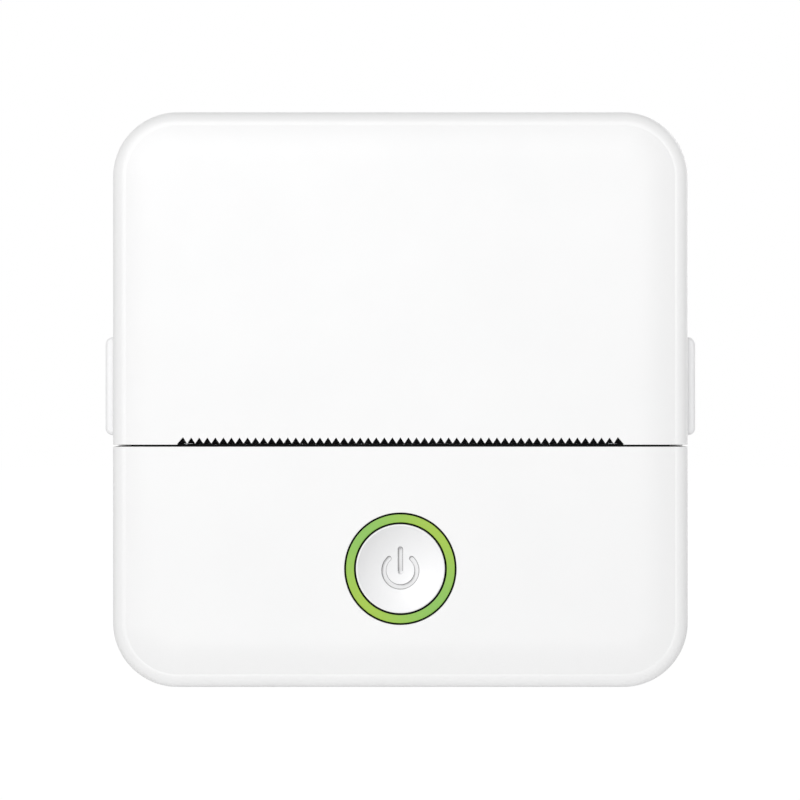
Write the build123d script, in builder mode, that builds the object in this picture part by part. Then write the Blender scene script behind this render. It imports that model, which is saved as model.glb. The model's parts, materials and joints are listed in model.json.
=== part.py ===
from build123d import *
import math
import os

os.makedirs("parts", exist_ok=True)

# Portable thermal printer, standing on its lower edge.
# X runs across the front, Y from the front face to the back, Z up. Millimetres.
# Origin: middle of the foot, on the surface that the case stands on.

# Case
case_width = 80.0
case_height = 80.0
case_depth = 38.0
corner_radius = 9.0
wall = 2.0
front_edge_radius = 1.7
crown_band = 5.6
crown_drop = 0.34
back_edge_radius = 3.0
seam_gap = 0.3
running_gap = 0.05
front_y = -case_depth / 2
back_y = case_depth / 2
inner_front_y = front_y + wall
inner_back_y = back_y - wall
inner_half = case_width / 2 - wall
shell_front_y = seam_gap / 2
cover_back_y = -seam_gap / 2

# Paper bay, between the two walls and under the top
bay_wall = 1.1
bay_clearance = 0.1
bay_head_room = 2.1
liner_step = 0.2
bay_radius = inner_back_y - bay_clearance - bay_wall
bay_y = 0.0
bay_z = case_height - wall - bay_head_room - bay_radius - bay_wall
sensor_x = 11.0

# Side by side at each end of the bay: plate, cover arm, two gears, release button
side_stack = 9.0
plate_thickness = 1.2
arm_gap = 0.3
arm_thickness = 1.4
gear_gap = 0.2
gear_a_width = 2.0
gear_b_width = 1.2
plate_inner = inner_half - side_stack
plate_outer = plate_inner + plate_thickness
arm_inner = plate_outer + arm_gap
arm_outer = arm_inner + arm_thickness
gear_a_start = arm_outer + gear_gap
gear_b_start = gear_a_start + gear_a_width + gear_gap

# Platen roller and print head
platen_front_gap = 3.0
platen_drop = 18.7
platen_radius = 5.0
platen_end_gap = 0.3
shaft_radius = 2.0
bush_radius = 3.0
bush_rim = 1.5
nip_angle = 10.0
nip_gap = 0.08
substrate_thickness = 0.8
sink_thickness = 2.6
sink_front = 4.0
sink_back = 13.6
sink_end_gap = 0.4
strip_front = 3.4
strip_back = 5.4
pivot_reach = 11.5
pivot_radius = 1.2
platen_y = inner_front_y + platen_front_gap + platen_radius
platen_z = bay_z - platen_drop
nip_sin = math.sin(math.radians(nip_angle))
nip_cos = math.cos(math.radians(nip_angle))
contact_y = platen_y + (platen_radius + nip_gap) * nip_sin
contact_z = platen_z - (platen_radius + nip_gap) * nip_cos

# Mouth between the cover and the front panel, where the paper leaves
mouth_drop = 1.7
mouth_gap = 0.27
mouth_side_room = 2.0
tooth_pitch = 1.118
tooth_height = 0.82
tooth_blunt = 0.04
tooth_recess = 0.2
end_tooth_height = 0.87
end_tooth_width = 1.3
bar_thickness = 1.0
bar_gap = 0.05
mouth_guide_depth = 0.9
mouth_guide_height = 3.4
mouth_guide_end_gap = 0.5
mouth_guide_clearance = 0.1
mouth_paper_gap = 0.12
mouth_z = platen_z - platen_radius - mouth_drop
mouth_half = plate_inner + mouth_side_room
tooth_count = 2 * int((mouth_half - end_tooth_width) / tooth_pitch) + 1
cover_low_z = mouth_z + mouth_gap / 2
panel_high_z = mouth_z - mouth_gap / 2
bar_low_z = cover_low_z + tooth_recess
mouth_guide_high_z = bar_low_z - mouth_paper_gap

# Cover hinge
hinge_y = 1.0
barrel_radius = 2.0
hinge_clearance = 0.3
hinge_rod_radius = 0.75
hinge_rod_end = 8.0
barrel_end = 1.5
barrel_end_gap = 0.3
ear_width = 6.0
ear_from_wall = 19.0
ear_web = 6.5
cover_opening = 100.0
hinge_z = case_height - barrel_radius
hinge_rod_half = inner_half - hinge_rod_end
barrel_half = inner_half - barrel_end
ear_inner = inner_half - ear_from_wall

# Gears
gear_module = 0.5
pressure_angle = 25.0
backlash = 0.12
platen_teeth = 20
small_idler_teeth = 12
large_idler_teeth = 34
pinion_teeth = 12
idler_angle = -30.0
motor_angle = -65.0
stud_radius = 0.75
stud_flange = 1.5
clip_radius = 1.3
clip_thickness = 0.35
gear_hub_radius = 2.3
idler_reach = gear_module * (platen_teeth + small_idler_teeth) / 2
idler_y = platen_y + idler_reach * math.cos(math.radians(idler_angle))
idler_z = platen_z + idler_reach * math.sin(math.radians(idler_angle))
motor_reach = gear_module * (large_idler_teeth + pinion_teeth) / 2
motor_y = idler_y + motor_reach * math.cos(math.radians(motor_angle))
motor_z = idler_z + motor_reach * math.sin(math.radians(motor_angle))

# Motor
motor_radius = 7.5
motor_length = 11.2
motor_plate = 0.8
motor_shaft_radius = 0.75
motor_shaft_hole = 1.6
motor_ear_reach = 9.0
motor_ear_angle = 25.0
motor_ear_radius = 2.1
motor_face = plate_inner - motor_plate

# Screws
screw_head_radius = 1.9
screw_head_height = 1.2
screw_radius = 0.9
small_head_radius = 1.4
small_head_height = 0.9
small_screw_radius = 0.8
case_screw_radius = 1.0
hole_slack = 0.15
boss_radius = 2.2

# Posts that join the two halves at the lower corners
post_radius = 2.6
post_inset = 4.0
post_rise = 3.6
post_bore_depth = 6.5
post_screw_y = 4.0
post_x = inner_half - post_inset
post_z = wall + post_rise

# Power button
button_below_middle = 0.3
ring_hole_radius = 7.8
ring_outer = 7.62
ring_inner = 6.42
ring_recess = 0.06
ring_step = 2.2
ring_bore = 7.05
ring_flange_radius = 8.7
ring_flange_thickness = 1.0
cap_radius = 6.18
cap_flange_radius = 6.8
cap_flange_gap = 0.1
cap_flange_thickness = 0.54
dish_radius = 5.98
dish_depth = 1.8
stem_radius = 2.0
press_travel = 0.5
symbol_arc_radius = 2.28
symbol_line = 0.66
symbol_bar_width = 0.7
symbol_bar_height = 3.85
symbol_bar_rise = 1.155
symbol_arc_drop = 0.28
symbol_gap_half = 42.0
symbol_depth = 0.5
button_z = mouth_z / 2 - button_below_middle

# Release buttons at the sides
tab_rise = 1.45
tab_height = 13.65
tab_setback = 3.4
tab_depth = 10.6
tab_proud = 1.12
tab_clearance = 0.15
tab_corner = 0.45
tab_edge_radius = 1.0
guide_thickness = 0.8
guide_margin = 1.1
guide_head = 1.2
hook_thickness = 1.0
hook_height = 3.6
nose_reach = 0.65
nose_y = 1.35
nose_length = 1.25
catch_slack = 0.25
tab_low_z = mouth_z + tab_rise
tab_mid_z = tab_low_z + tab_height / 2
tab_mid_y = front_y + tab_setback + tab_depth / 2
release_spring_rise = 5.75
release_spring_radius = 0.95
release_spring_wire = 0.16

# Chassis
crossbar_setback = 4.1
crossbar_depth = 6.5
crossbar_drop = 7.6
crossbar_lip = 2.0
plate_margin = 0.3
plate_foot_drop = 1.0
chassis_depth = 3.0
chassis_boss_inset = 4.4
crossbar_y = inner_front_y + crossbar_setback
crossbar_low_z = mouth_z - crossbar_drop
crossbar_high_z = crossbar_low_z + plate_thickness
lip_high_z = crossbar_high_z + crossbar_lip
plate_back_y = inner_back_y - chassis_depth
plate_front_y = crossbar_y - plate_margin
plate_low_z = crossbar_low_z - plate_foot_drop
flange_height = 6.0
flange_reach = 6.2

# Board and port
board_setback = 5.4
board_thickness = 1.2
board_floor_gap = 2.5
board_drop = 9.1
board_left_room = 7.0
board_right_room = 2.5
port_width = 8.94
port_height = 3.26
port_length = 7.4
port_wall = 0.3
port_slack = 0.35
port_out = 0.7
switch_side = 6.2
switch_height = 3.2
switch_stroke_room = 1.15
plunger_radius = 1.7
lamp_height = 0.8
board_y = inner_front_y + board_setback
board_back_y = board_y + board_thickness
board_low_z = wall + board_floor_gap
board_high_z = mouth_z - board_drop
board_mid_z = (board_low_z + board_high_z) / 2
board_left = -inner_half + board_left_room
board_right = inner_half - board_right_room
port_z = board_mid_z + 0.1
port_outer_x = inner_half + port_out

# Battery
battery_thickness = 10.2
battery_side_gap = 0.6
battery_motor_gap = 1.6
battery_floor_gap = 1.4
battery_head_gap = 0.6
battery_edge = 2.4
pad_thickness = 1.0
lead_radius = 0.5
lead_spacing = 1.8
battery_back_y = inner_back_y - pad_thickness
battery_front_y = battery_back_y - battery_thickness
battery_left = -plate_inner + battery_side_gap
battery_right = motor_face - motor_length - battery_motor_gap
battery_low_z = wall + battery_floor_gap
battery_high_z = mouth_z - battery_head_gap


def at_y(y):
    """A plane parallel to the front face, local x across and local y up."""
    return Plane.XZ.offset(-y)


def at_x(x):
    """A plane parallel to the side walls, local x towards the back and local y up."""
    return Plane.YZ.offset(x)


def save(builder, name):
    builder.part.label = name
    export_step(builder.part, f"parts/{name}.step")


def along_head(reach, rise=0.0):
    """A point of the tilted print head, reach back from the contact line and rise towards the platen."""
    return (
        contact_y + reach * nip_cos - rise * nip_sin,
        contact_z + reach * nip_sin + rise * nip_cos,
    )


def case_block(y_from, y_to, inset=0.0):
    """The case's outline, drawn in by inset, from one depth to another."""
    with BuildPart() as block:
        with BuildSketch(at_y(y_from)):
            with Locations((0, case_height / 2)):
                RectangleRounded(
                    case_width - 2 * inset,
                    case_height - 2 * inset,
                    corner_radius - inset,
                )
        extrude(amount=-(y_to - y_from))
    return block.part


def tooth_points(teeth, phase):
    """Flank arcs and corners of each gear tooth, as an involute with straight roots."""
    pitch_r = gear_module * teeth / 2
    base_r = pitch_r * math.cos(math.radians(pressure_angle))
    root_r = pitch_r - 1.25 * gear_module
    tip_r = pitch_r + 0.9 * gear_module
    start_r = max(root_r, base_r)

    def involute(radius):
        turn = math.acos(min(1.0, base_r / radius))
        return math.tan(turn) - turn

    half_pitch = (math.pi * gear_module / 2 - backlash / 2) / (2 * pitch_r)
    at_pitch = involute(pitch_r)
    radii = (start_r, (start_r + tip_r) / 2, tip_r)
    lean = [half_pitch + at_pitch - involute(r) for r in radii]
    for k in range(teeth):
        middle = math.radians(phase) + 2 * math.pi * k / teeth
        rise = [(r, middle - a) for r, a in zip(radii, lean)]
        fall = [(r, middle + a) for r, a in zip(reversed(radii), reversed(lean))]
        yield root_r, rise, fall


def polar(radius, angle):
    return (radius * math.cos(angle), radius * math.sin(angle))


def gear(teeth, phase, centre, x_from, width, bore):
    """A spur gear across X, with a tooth pointing along phase degrees."""
    with BuildPart() as wheel:
        with BuildSketch(at_x(x_from)):
            with BuildLine():
                first = None
                last = None
                for root_r, rise, fall in tooth_points(teeth, phase):
                    foot = polar(root_r, rise[0][1])
                    if last is not None:
                        Line(last, foot)
                    first = first or foot
                    if root_r < rise[0][0]:
                        Line(foot, polar(*rise[0]))
                    ThreePointArc(*[polar(*p) for p in rise])
                    Line(polar(*rise[2]), polar(*fall[0]))
                    ThreePointArc(*[polar(*p) for p in fall])
                    last = polar(root_r, fall[2][1])
                    if root_r < fall[2][0]:
                        Line(polar(*fall[2]), last)
                Line(last, first)
            make_face()
            Circle(bore, mode=Mode.SUBTRACT)
        extrude(amount=width)
    return wheel.part.moved(Location((0, *centre)))


def screw(place, axis, head_radius, head_height, shank_radius, shank_length):
    """A pan head screw. place is under the head, and axis points from the head to the tip."""
    with BuildPart() as bolt:
        with BuildSketch(Plane(origin=place, z_dir=axis)):
            Circle(shank_radius)
        extrude(amount=shank_length)
        with BuildSketch(Plane(origin=place, z_dir=axis)):
            Circle(head_radius)
        extrude(amount=-head_height)
        chamfer(bolt.edges().filter_by(GeomType.CIRCLE).sort_by(SortBy.RADIUS)[-1], head_height * 0.3)
        with BuildSketch(Plane(origin=place, z_dir=axis).offset(-head_height)):
            Rectangle(head_radius * 1.1, head_radius * 0.3)
            Rectangle(head_radius * 0.3, head_radius * 1.1)
        extrude(amount=head_height * 0.5, mode=Mode.SUBTRACT)
    return bolt.part


def spring(start, axis, length, mean_radius, wire_radius, turns):
    """A compression spring, one unbroken wire."""
    with BuildPart() as coil:
        with BuildLine() as path:
            Helix(length / turns, length, mean_radius, center=start, direction=axis)
        with BuildSketch(Plane(origin=path.line @ 0, z_dir=path.line % 0)):
            Circle(wire_radius)
        sweep(is_frenet=True)
    return coil.part


# Front half of the case: a crowned front face with a rounded edge
front_cavity = case_block(inner_front_y, cover_back_y + 1, inset=wall)
with BuildPart() as front_half:
    with BuildSketch(at_y(cover_back_y)):
        with Locations((0, case_height / 2)):
            RectangleRounded(case_width, case_height, corner_radius)
    extrude(amount=cover_back_y - front_y - crown_drop)
    with BuildSketch(at_y(front_y + crown_drop)):
        with Locations((0, case_height / 2)):
            RectangleRounded(case_width, case_height, corner_radius)
    with BuildSketch(at_y(front_y)):
        with Locations((0, case_height / 2)):
            RectangleRounded(
                case_width - 2 * crown_band,
                case_height - 2 * crown_band,
                corner_radius - crown_band,
            )
    loft()
    rim = front_half.edges().filter_by(
        lambda e: abs(e.center().Y - front_y - crown_drop) < 0.02 and e.length > 3
    )
    fillet(rim, front_edge_radius)
    add(front_cavity, mode=Mode.SUBTRACT)

# Hinge barrel across the cover, inside the case's outline
barrel_outline = case_block(hinge_y - 4, hinge_y + 4)
with BuildPart() as hinge_barrel:
    with BuildSketch(at_x(-barrel_half)):
        with Locations((hinge_y, hinge_z)):
            Circle(barrel_radius)
        with Locations((hinge_y - 1, hinge_z + barrel_radius / 2)):
            Rectangle(2, barrel_radius)
    extrude(amount=2 * barrel_half)
    add(barrel_outline, mode=Mode.INTERSECT)

# Paper cover: upper front, with the teeth on its lower edge and its side button openings
cover_boss_x = inner_half - 3.6
cover_boss_zs = (bay_z - 5.5, bay_z + 8.0)
cover_boss_y = inner_front_y + 5.0
boss_places = [(side * cover_boss_x, z) for side in (-1, 1) for z in cover_boss_zs]
with BuildPart() as paper_cover:
    add(front_half.part)
    split(bisect_by=Plane.XY.offset(cover_low_z), keep=Keep.TOP)
    add(hinge_barrel.part)
    for side in (-1, 1):
        ear_from = ear_inner - running_gap if side > 0 else -ear_inner - ear_width - running_gap
        with BuildSketch(at_x(ear_from)):
            with Locations((hinge_y, hinge_z)):
                Circle(barrel_radius + hinge_clearance)
        extrude(amount=ear_width + 2 * running_gap, mode=Mode.SUBTRACT)
    with BuildSketch(at_x(-hinge_rod_half - running_gap)):
        with Locations((hinge_y, hinge_z)):
            Circle(hinge_rod_radius + running_gap)
    extrude(amount=2 * (hinge_rod_half + running_gap), mode=Mode.SUBTRACT)
    with BuildSketch(at_y(inner_front_y + 0.01)):
        tooth_foot = cover_low_z + tooth_recess
        with Locations((0, cover_low_z + tooth_recess / 2 - 0.5)):
            Rectangle(2 * mouth_half, tooth_recess + 1)
        notch_half = (tooth_pitch - tooth_blunt) / 2
        for k in range(tooth_count):
            middle = (k - (tooth_count - 1) / 2) * tooth_pitch
            with BuildLine():
                Polyline(
                    (middle - notch_half, tooth_foot - 0.05),
                    (middle - notch_half, tooth_foot),
                    (middle, tooth_foot + tooth_height),
                    (middle + notch_half, tooth_foot),
                    (middle + notch_half, tooth_foot - 0.05),
                    close=True,
                )
            make_face()
        end_from = (tooth_count / 2) * tooth_pitch + tooth_blunt / 2
        for side in (-1, 1):
            with BuildLine():
                Polyline(
                    (side * end_from, tooth_foot - 0.05),
                    (side * end_from, tooth_foot),
                    (side * (end_from + tooth_pitch / 2), tooth_foot + end_tooth_height),
                    (side * mouth_half, tooth_foot),
                    (side * mouth_half, tooth_foot - 0.05),
                    close=True,
                )
            make_face()
    extrude(amount=wall + 1, mode=Mode.SUBTRACT)
    with BuildSketch(at_x(-case_width)):
        with Locations((tab_mid_y, tab_mid_z)):
            RectangleRounded(
                tab_depth + 2 * tab_clearance,
                tab_height + 2 * tab_clearance,
                tab_corner + tab_clearance,
            )
    extrude(amount=2 * case_width, mode=Mode.SUBTRACT)
    with BuildSketch(at_y(cover_boss_y)):
        with Locations(*boss_places):
            Circle(boss_radius)
            Circle(screw_radius, mode=Mode.SUBTRACT)
    extrude(amount=cover_boss_y - inner_front_y)
save(paper_cover, "paper_cover")

# Front panel: lower front, with the button's hole, the port and its own hooks and posts
board_boss_inset = 3.0
board_bosses = [
    (board_left + board_boss_inset, board_low_z + board_boss_inset),
    (board_left + board_boss_inset, board_high_z - board_boss_inset),
    (plate_inner - 1, board_high_z - board_boss_inset),
    (plate_inner - 5, board_low_z + board_boss_inset),
]
hook_z = lip_high_z + running_gap
hook_front_y = crossbar_y + plate_thickness + running_gap
hook_x = 20.0
hook_width = 6.0
hook_reach = 0.75
hook_high = 0.85
with BuildPart() as front_panel:
    add(front_half.part)
    split(bisect_by=Plane.XY.offset(panel_high_z), keep=Keep.BOTTOM)
    with BuildSketch(at_y(inner_front_y + 0.01)):
        with Locations((0, button_z)):
            Circle(ring_hole_radius)
    extrude(amount=wall + 1, mode=Mode.SUBTRACT)
    with BuildSketch(at_y(board_y)):
        with Locations(*board_bosses):
            Circle(boss_radius - 0.2)
            Circle(small_screw_radius, mode=Mode.SUBTRACT)
    extrude(amount=board_y - inner_front_y)
    with BuildSketch(at_y(0)):
        with Locations((-post_x, post_z), (post_x, post_z)):
            Circle(post_radius)
    extrude(amount=-inner_front_y)
    with BuildSketch(at_y(0)):
        with Locations((-post_x, post_z), (post_x, post_z)):
            Circle(case_screw_radius)
    extrude(amount=post_bore_depth, mode=Mode.SUBTRACT)
    for side in (-1, 1):
        with BuildSketch(at_x(side * (hook_x + hook_width / 2) - hook_width / 2)):
            with BuildLine():
                Polyline(
                    (inner_front_y - 0.5, hook_z),
                    (inner_front_y - 0.5, hook_z + hook_high),
                    (hook_front_y + hook_reach - 0.3, hook_z + hook_high),
                    (hook_front_y + hook_reach, hook_z + hook_high / 2),
                    (hook_front_y + hook_reach, hook_z - hook_high / 2),
                    (hook_front_y, hook_z - hook_high),
                    (hook_front_y, hook_z),
                    close=True,
                )
            make_face()
        extrude(amount=hook_width)
    with BuildSketch(at_x(inner_half - 0.5)):
        with Locations((board_back_y + port_height / 2, port_z)):
            RectangleRounded(
                port_height + 2 * port_slack,
                port_width + 2 * port_slack,
                port_height / 2 + port_slack - 0.05,
            )
    extrude(amount=wall + 1, mode=Mode.SUBTRACT)
save(front_panel, "front_bezel")

# Paper guide: a strip on the panel's inner face, whose top edge the paper leaves over
mouth_guide_half = inner_half - mouth_guide_end_gap
mouth_guide_back_y = inner_front_y + mouth_guide_depth
mouth_guide_step_z = panel_high_z - mouth_guide_clearance
with BuildPart() as paper_guide:
    with BuildSketch(at_x(-mouth_guide_half)):
        with BuildLine():
            Polyline(
                (inner_front_y, mouth_guide_high_z - mouth_guide_height),
                (inner_front_y, mouth_guide_step_z),
                (inner_front_y + mouth_guide_clearance, mouth_guide_step_z),
                (inner_front_y + mouth_guide_clearance, mouth_guide_high_z),
                (mouth_guide_back_y, mouth_guide_high_z),
                (mouth_guide_back_y, mouth_guide_high_z - mouth_guide_height),
                close=True,
            )
        make_face()
    extrude(amount=2 * mouth_guide_half)
save(paper_guide, "paper_guide")

# Rear shell: rounded back edge, posts, hinge ears and the hooks' catches
shell_block = case_block(shell_front_y, back_y)
shell_cavity = case_block(shell_front_y - 1, inner_back_y, inset=wall)
chassis_boss_x = inner_half - chassis_boss_inset
chassis_boss_zs = (mouth_z + 3.4, bay_z + 8.5)
chassis_bosses = [(side * chassis_boss_x, z) for side in (-1, 1) for z in chassis_boss_zs]
catch_depth = nose_reach + catch_slack
lean = math.radians(cover_opening - 90 + 1)
relief_radius = barrel_radius + hinge_clearance
relief_y = hinge_y + relief_radius * math.cos(lean)
relief_z = hinge_z + relief_radius * math.sin(lean)
relief_top_y = relief_y + (case_height + 1 - relief_z) * math.tan(lean)
with BuildPart() as rear_shell:
    add(shell_block)
    fillet(rear_shell.faces().sort_by(Axis.Y)[-1].edges(), back_edge_radius)
    add(shell_cavity, mode=Mode.SUBTRACT)
    with BuildSketch(at_x(-barrel_half - barrel_end_gap)):
        with Locations((hinge_y, hinge_z)):
            Circle(relief_radius)
        with BuildLine():
            Polyline(
                (-1, hinge_z),
                (hinge_y, hinge_z),
                (relief_y, relief_z),
                (relief_top_y, case_height + 1),
                (-1, case_height + 1),
                close=True,
            )
        make_face()
    extrude(amount=2 * (barrel_half + barrel_end_gap), mode=Mode.SUBTRACT)
    for side in (-1, 1):
        ear_from = ear_inner if side > 0 else -ear_inner - ear_width
        with BuildSketch(at_x(ear_from)):
            with Locations((hinge_y, hinge_z)):
                Circle(barrel_radius)
            with BuildLine():
                Polyline(
                    (hinge_y, hinge_z),
                    (hinge_y, hinge_z - barrel_radius),
                    (hinge_y + ear_web, hinge_z - barrel_radius),
                    (hinge_y + ear_web, case_height - wall + 0.4),
                    (relief_y + 0.9, case_height - wall + 0.4),
                    (relief_y + 0.3, hinge_z),
                    close=True,
                )
            make_face()
            with Locations((hinge_y, hinge_z)):
                Circle(hinge_rod_radius, mode=Mode.SUBTRACT)
        extrude(amount=ear_width)
    with BuildSketch(at_y(0)):
        with Locations((-post_x, post_z), (post_x, post_z)):
            Circle(post_radius)
    extrude(amount=-inner_back_y)
    with BuildSketch(at_y(0)):
        with Locations((-post_x, post_z), (post_x, post_z)):
            Circle(case_screw_radius + hole_slack)
    extrude(amount=-post_screw_y - 1, mode=Mode.SUBTRACT)
    with BuildSketch(at_y(post_screw_y)):
        with Locations((-post_x, post_z), (post_x, post_z)):
            Circle(screw_head_radius + 0.1)
    extrude(amount=-back_y, mode=Mode.SUBTRACT)
    with BuildSketch(at_y(plate_back_y)):
        with Locations(*chassis_bosses):
            Circle(boss_radius)
            Circle(screw_radius, mode=Mode.SUBTRACT)
    extrude(amount=plate_back_y - inner_back_y)
    for side in (-1, 1):
        recess_from = inner_half - 0.5 if side > 0 else -inner_half - catch_depth
        with BuildSketch(at_x(recess_from)):
            with Locations((nose_y + nose_length / 2, tab_mid_z)):
                Rectangle(nose_length + 2 * catch_slack, hook_height + 4 * catch_slack)
        extrude(amount=catch_depth + 0.5, mode=Mode.SUBTRACT)
save(rear_shell, "rear_shell")

# Hinge rod
with BuildPart() as hinge_rod:
    with BuildSketch(at_x(-hinge_rod_half)):
        with Locations((hinge_y, hinge_z)):
            Circle(hinge_rod_radius)
    extrude(amount=2 * hinge_rod_half)
save(hinge_rod, "hinge_rod")

# Chassis side plates: bay ends, notches for the roller's bearings, pivots for the head
pivot_y, pivot_z = along_head(pivot_reach, -substrate_thickness - sink_thickness / 2)
ear_reach_y = motor_ear_reach * math.cos(math.radians(motor_ear_angle))
ear_reach_z = motor_ear_reach * math.sin(math.radians(motor_ear_angle))
motor_ears = [
    (motor_y + ear_reach_y, motor_z + ear_reach_z),
    (motor_y - ear_reach_y, motor_z - ear_reach_z),
]
notch_radius = bush_radius + running_gap
plate_front_top = shell_front_y + 0.15
bay_outline = [
    (plate_front_y, platen_z - 1.8),
    (platen_y + 2.5, platen_z + 5.2),
    (plate_front_top, platen_z + 7.2),
    (plate_front_top, bay_z + bay_radius - 1.6),
    (plate_front_top + 2.2, bay_z + bay_radius + 0.2),
    (plate_front_top + 7.7, bay_z + bay_radius - 0.4),
    (plate_back_y, bay_z + bay_radius - 5.0),
    (plate_back_y, pivot_z - 1.5),
]
right_outline = bay_outline + [
    (motor_ears[0][0] + 2.4, motor_ears[0][1] - 2.1),
    (motor_y + 4.2, motor_z - motor_radius - 1.2),
    (motor_y - 6.3, motor_z - motor_radius - 1.2),
    (motor_ears[1][0] - 2.8, motor_ears[1][1] - 2.3),
    (motor_ears[1][0] - 2.8, plate_low_z),
    (plate_front_y, plate_low_z),
]
left_outline = bay_outline + [(plate_back_y - 6.0, plate_low_z), (plate_front_y, plate_low_z)]


def side_plate(x_from, outline, flange_from):
    """A sheet metal side plate with its roller notch, head pivot hole and screw flanges."""
    with BuildPart() as plate:
        with BuildSketch(at_x(x_from)):
            with BuildLine():
                Polyline(*outline, close=True)
            make_face()
            with Locations((platen_y, platen_z)):
                Circle(notch_radius, mode=Mode.SUBTRACT)
            with BuildLine():
                Polyline(
                    (platen_y, platen_z - notch_radius),
                    (platen_y - 2 * notch_radius, platen_z - notch_radius),
                    (platen_y - 2 * notch_radius, platen_z + 2.2 * notch_radius),
                    (platen_y - 0.5, platen_z + 2.2 * notch_radius),
                    (platen_y + notch_radius / 2, platen_z + 0.866 * notch_radius),
                    (platen_y, platen_z),
                    close=True,
                )
            make_face(mode=Mode.SUBTRACT)
            with Locations((pivot_y, pivot_z)):
                Circle(pivot_radius + running_gap, mode=Mode.SUBTRACT)
        extrude(amount=plate_thickness)
        for z in chassis_boss_zs:
            with BuildSketch(at_y(plate_back_y)):
                with Locations((flange_from + math.copysign(flange_reach / 2, flange_from), z)):
                    Rectangle(flange_reach, flange_height)
                with Locations((math.copysign(chassis_boss_x, flange_from), z)):
                    Circle(screw_radius + hole_slack, mode=Mode.SUBTRACT)
            extrude(amount=plate_thickness)
    return plate


plate_right = side_plate(plate_inner, right_outline, plate_inner)
with BuildPart() as chassis_right:
    add(plate_right.part)
    with BuildSketch(at_x(plate_inner - 1)):
        with Locations((motor_y, motor_z)):
            Circle(motor_shaft_hole)
        with Locations(*motor_ears):
            Circle(small_screw_radius)
    extrude(amount=plate_thickness + 2, mode=Mode.SUBTRACT)
save(chassis_right, "chassis_plate_right")

plate_left = side_plate(-plate_outer, left_outline, -plate_inner)
with BuildPart() as chassis_left:
    add(plate_left.part)
save(chassis_left, "chassis_plate_left")

# Crossbar under the head
with BuildPart() as crossbar:
    with BuildSketch(at_x(-plate_inner)):
        with BuildLine():
            Polyline(
                (crossbar_y, crossbar_low_z),
                (crossbar_y + crossbar_depth, crossbar_low_z),
                (crossbar_y + crossbar_depth, crossbar_high_z),
                (crossbar_y + plate_thickness, crossbar_high_z),
                (crossbar_y + plate_thickness, lip_high_z),
                (crossbar_y, lip_high_z),
                close=True,
            )
        make_face()
    extrude(amount=2 * plate_inner)
save(crossbar, "chassis_crossbar")

# Paper trough: the back and the floor of the bay
trough_outer = bay_radius + bay_wall
with BuildPart() as paper_trough:
    with BuildSketch(at_x(-plate_inner)):
        with Locations((bay_y, bay_z)):
            Circle(trough_outer)
        with Locations((bay_y, bay_z - trough_outer + 0.3)):
            Rectangle(4.6, 2.0)
        with Locations((bay_y, bay_z)):
            Circle(bay_radius, mode=Mode.SUBTRACT)
        with BuildLine():
            Polyline(
                (bay_y, bay_z),
                (bay_y + 7.0, bay_z + 22.0),
                (bay_y - 30.0, bay_z + 22.0),
                (bay_y - 30.0, bay_z - 25.0),
                (bay_y - 3.6, bay_z - 25.0),
                close=True,
            )
        make_face(mode=Mode.SUBTRACT)
    extrude(amount=2 * plate_inner)
    with BuildSketch(Plane.XY.offset(bay_z - trough_outer - 2)):
        with Locations((sensor_x, bay_y)):
            Rectangle(2.6, 2.2)
    extrude(amount=4, mode=Mode.SUBTRACT)
save(paper_trough, "paper_trough")

# Paper sensor under the trough's window
sensor_top_z = bay_z - trough_outer - 0.7
with BuildPart() as paper_sensor:
    with BuildSketch(Plane.XY.offset(sensor_top_z)):
        with Locations((sensor_x, bay_y)):
            Rectangle(5.0, 3.6)
    extrude(amount=-1.4)
    with BuildSketch(Plane.XY.offset(sensor_top_z)):
        with Locations((sensor_x - 0.6, bay_y), (sensor_x + 0.6, bay_y)):
            Rectangle(0.8, 1.4)
    extrude(amount=0.35)
save(paper_sensor, "paper_sensor")

# Cover frame: carries the roller, lines the front of the bay and backs the teeth
liner_inner = bay_radius - liner_step
liner_outer = liner_inner + bay_wall
arm_hollow = bay_radius - 3.0


def bay_point(radius, angle):
    """A point round the bay's axis, at an angle from the back, upwards."""
    return (
        bay_y + radius * math.cos(math.radians(angle)),
        bay_z + radius * math.sin(math.radians(angle)),
    )


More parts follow.
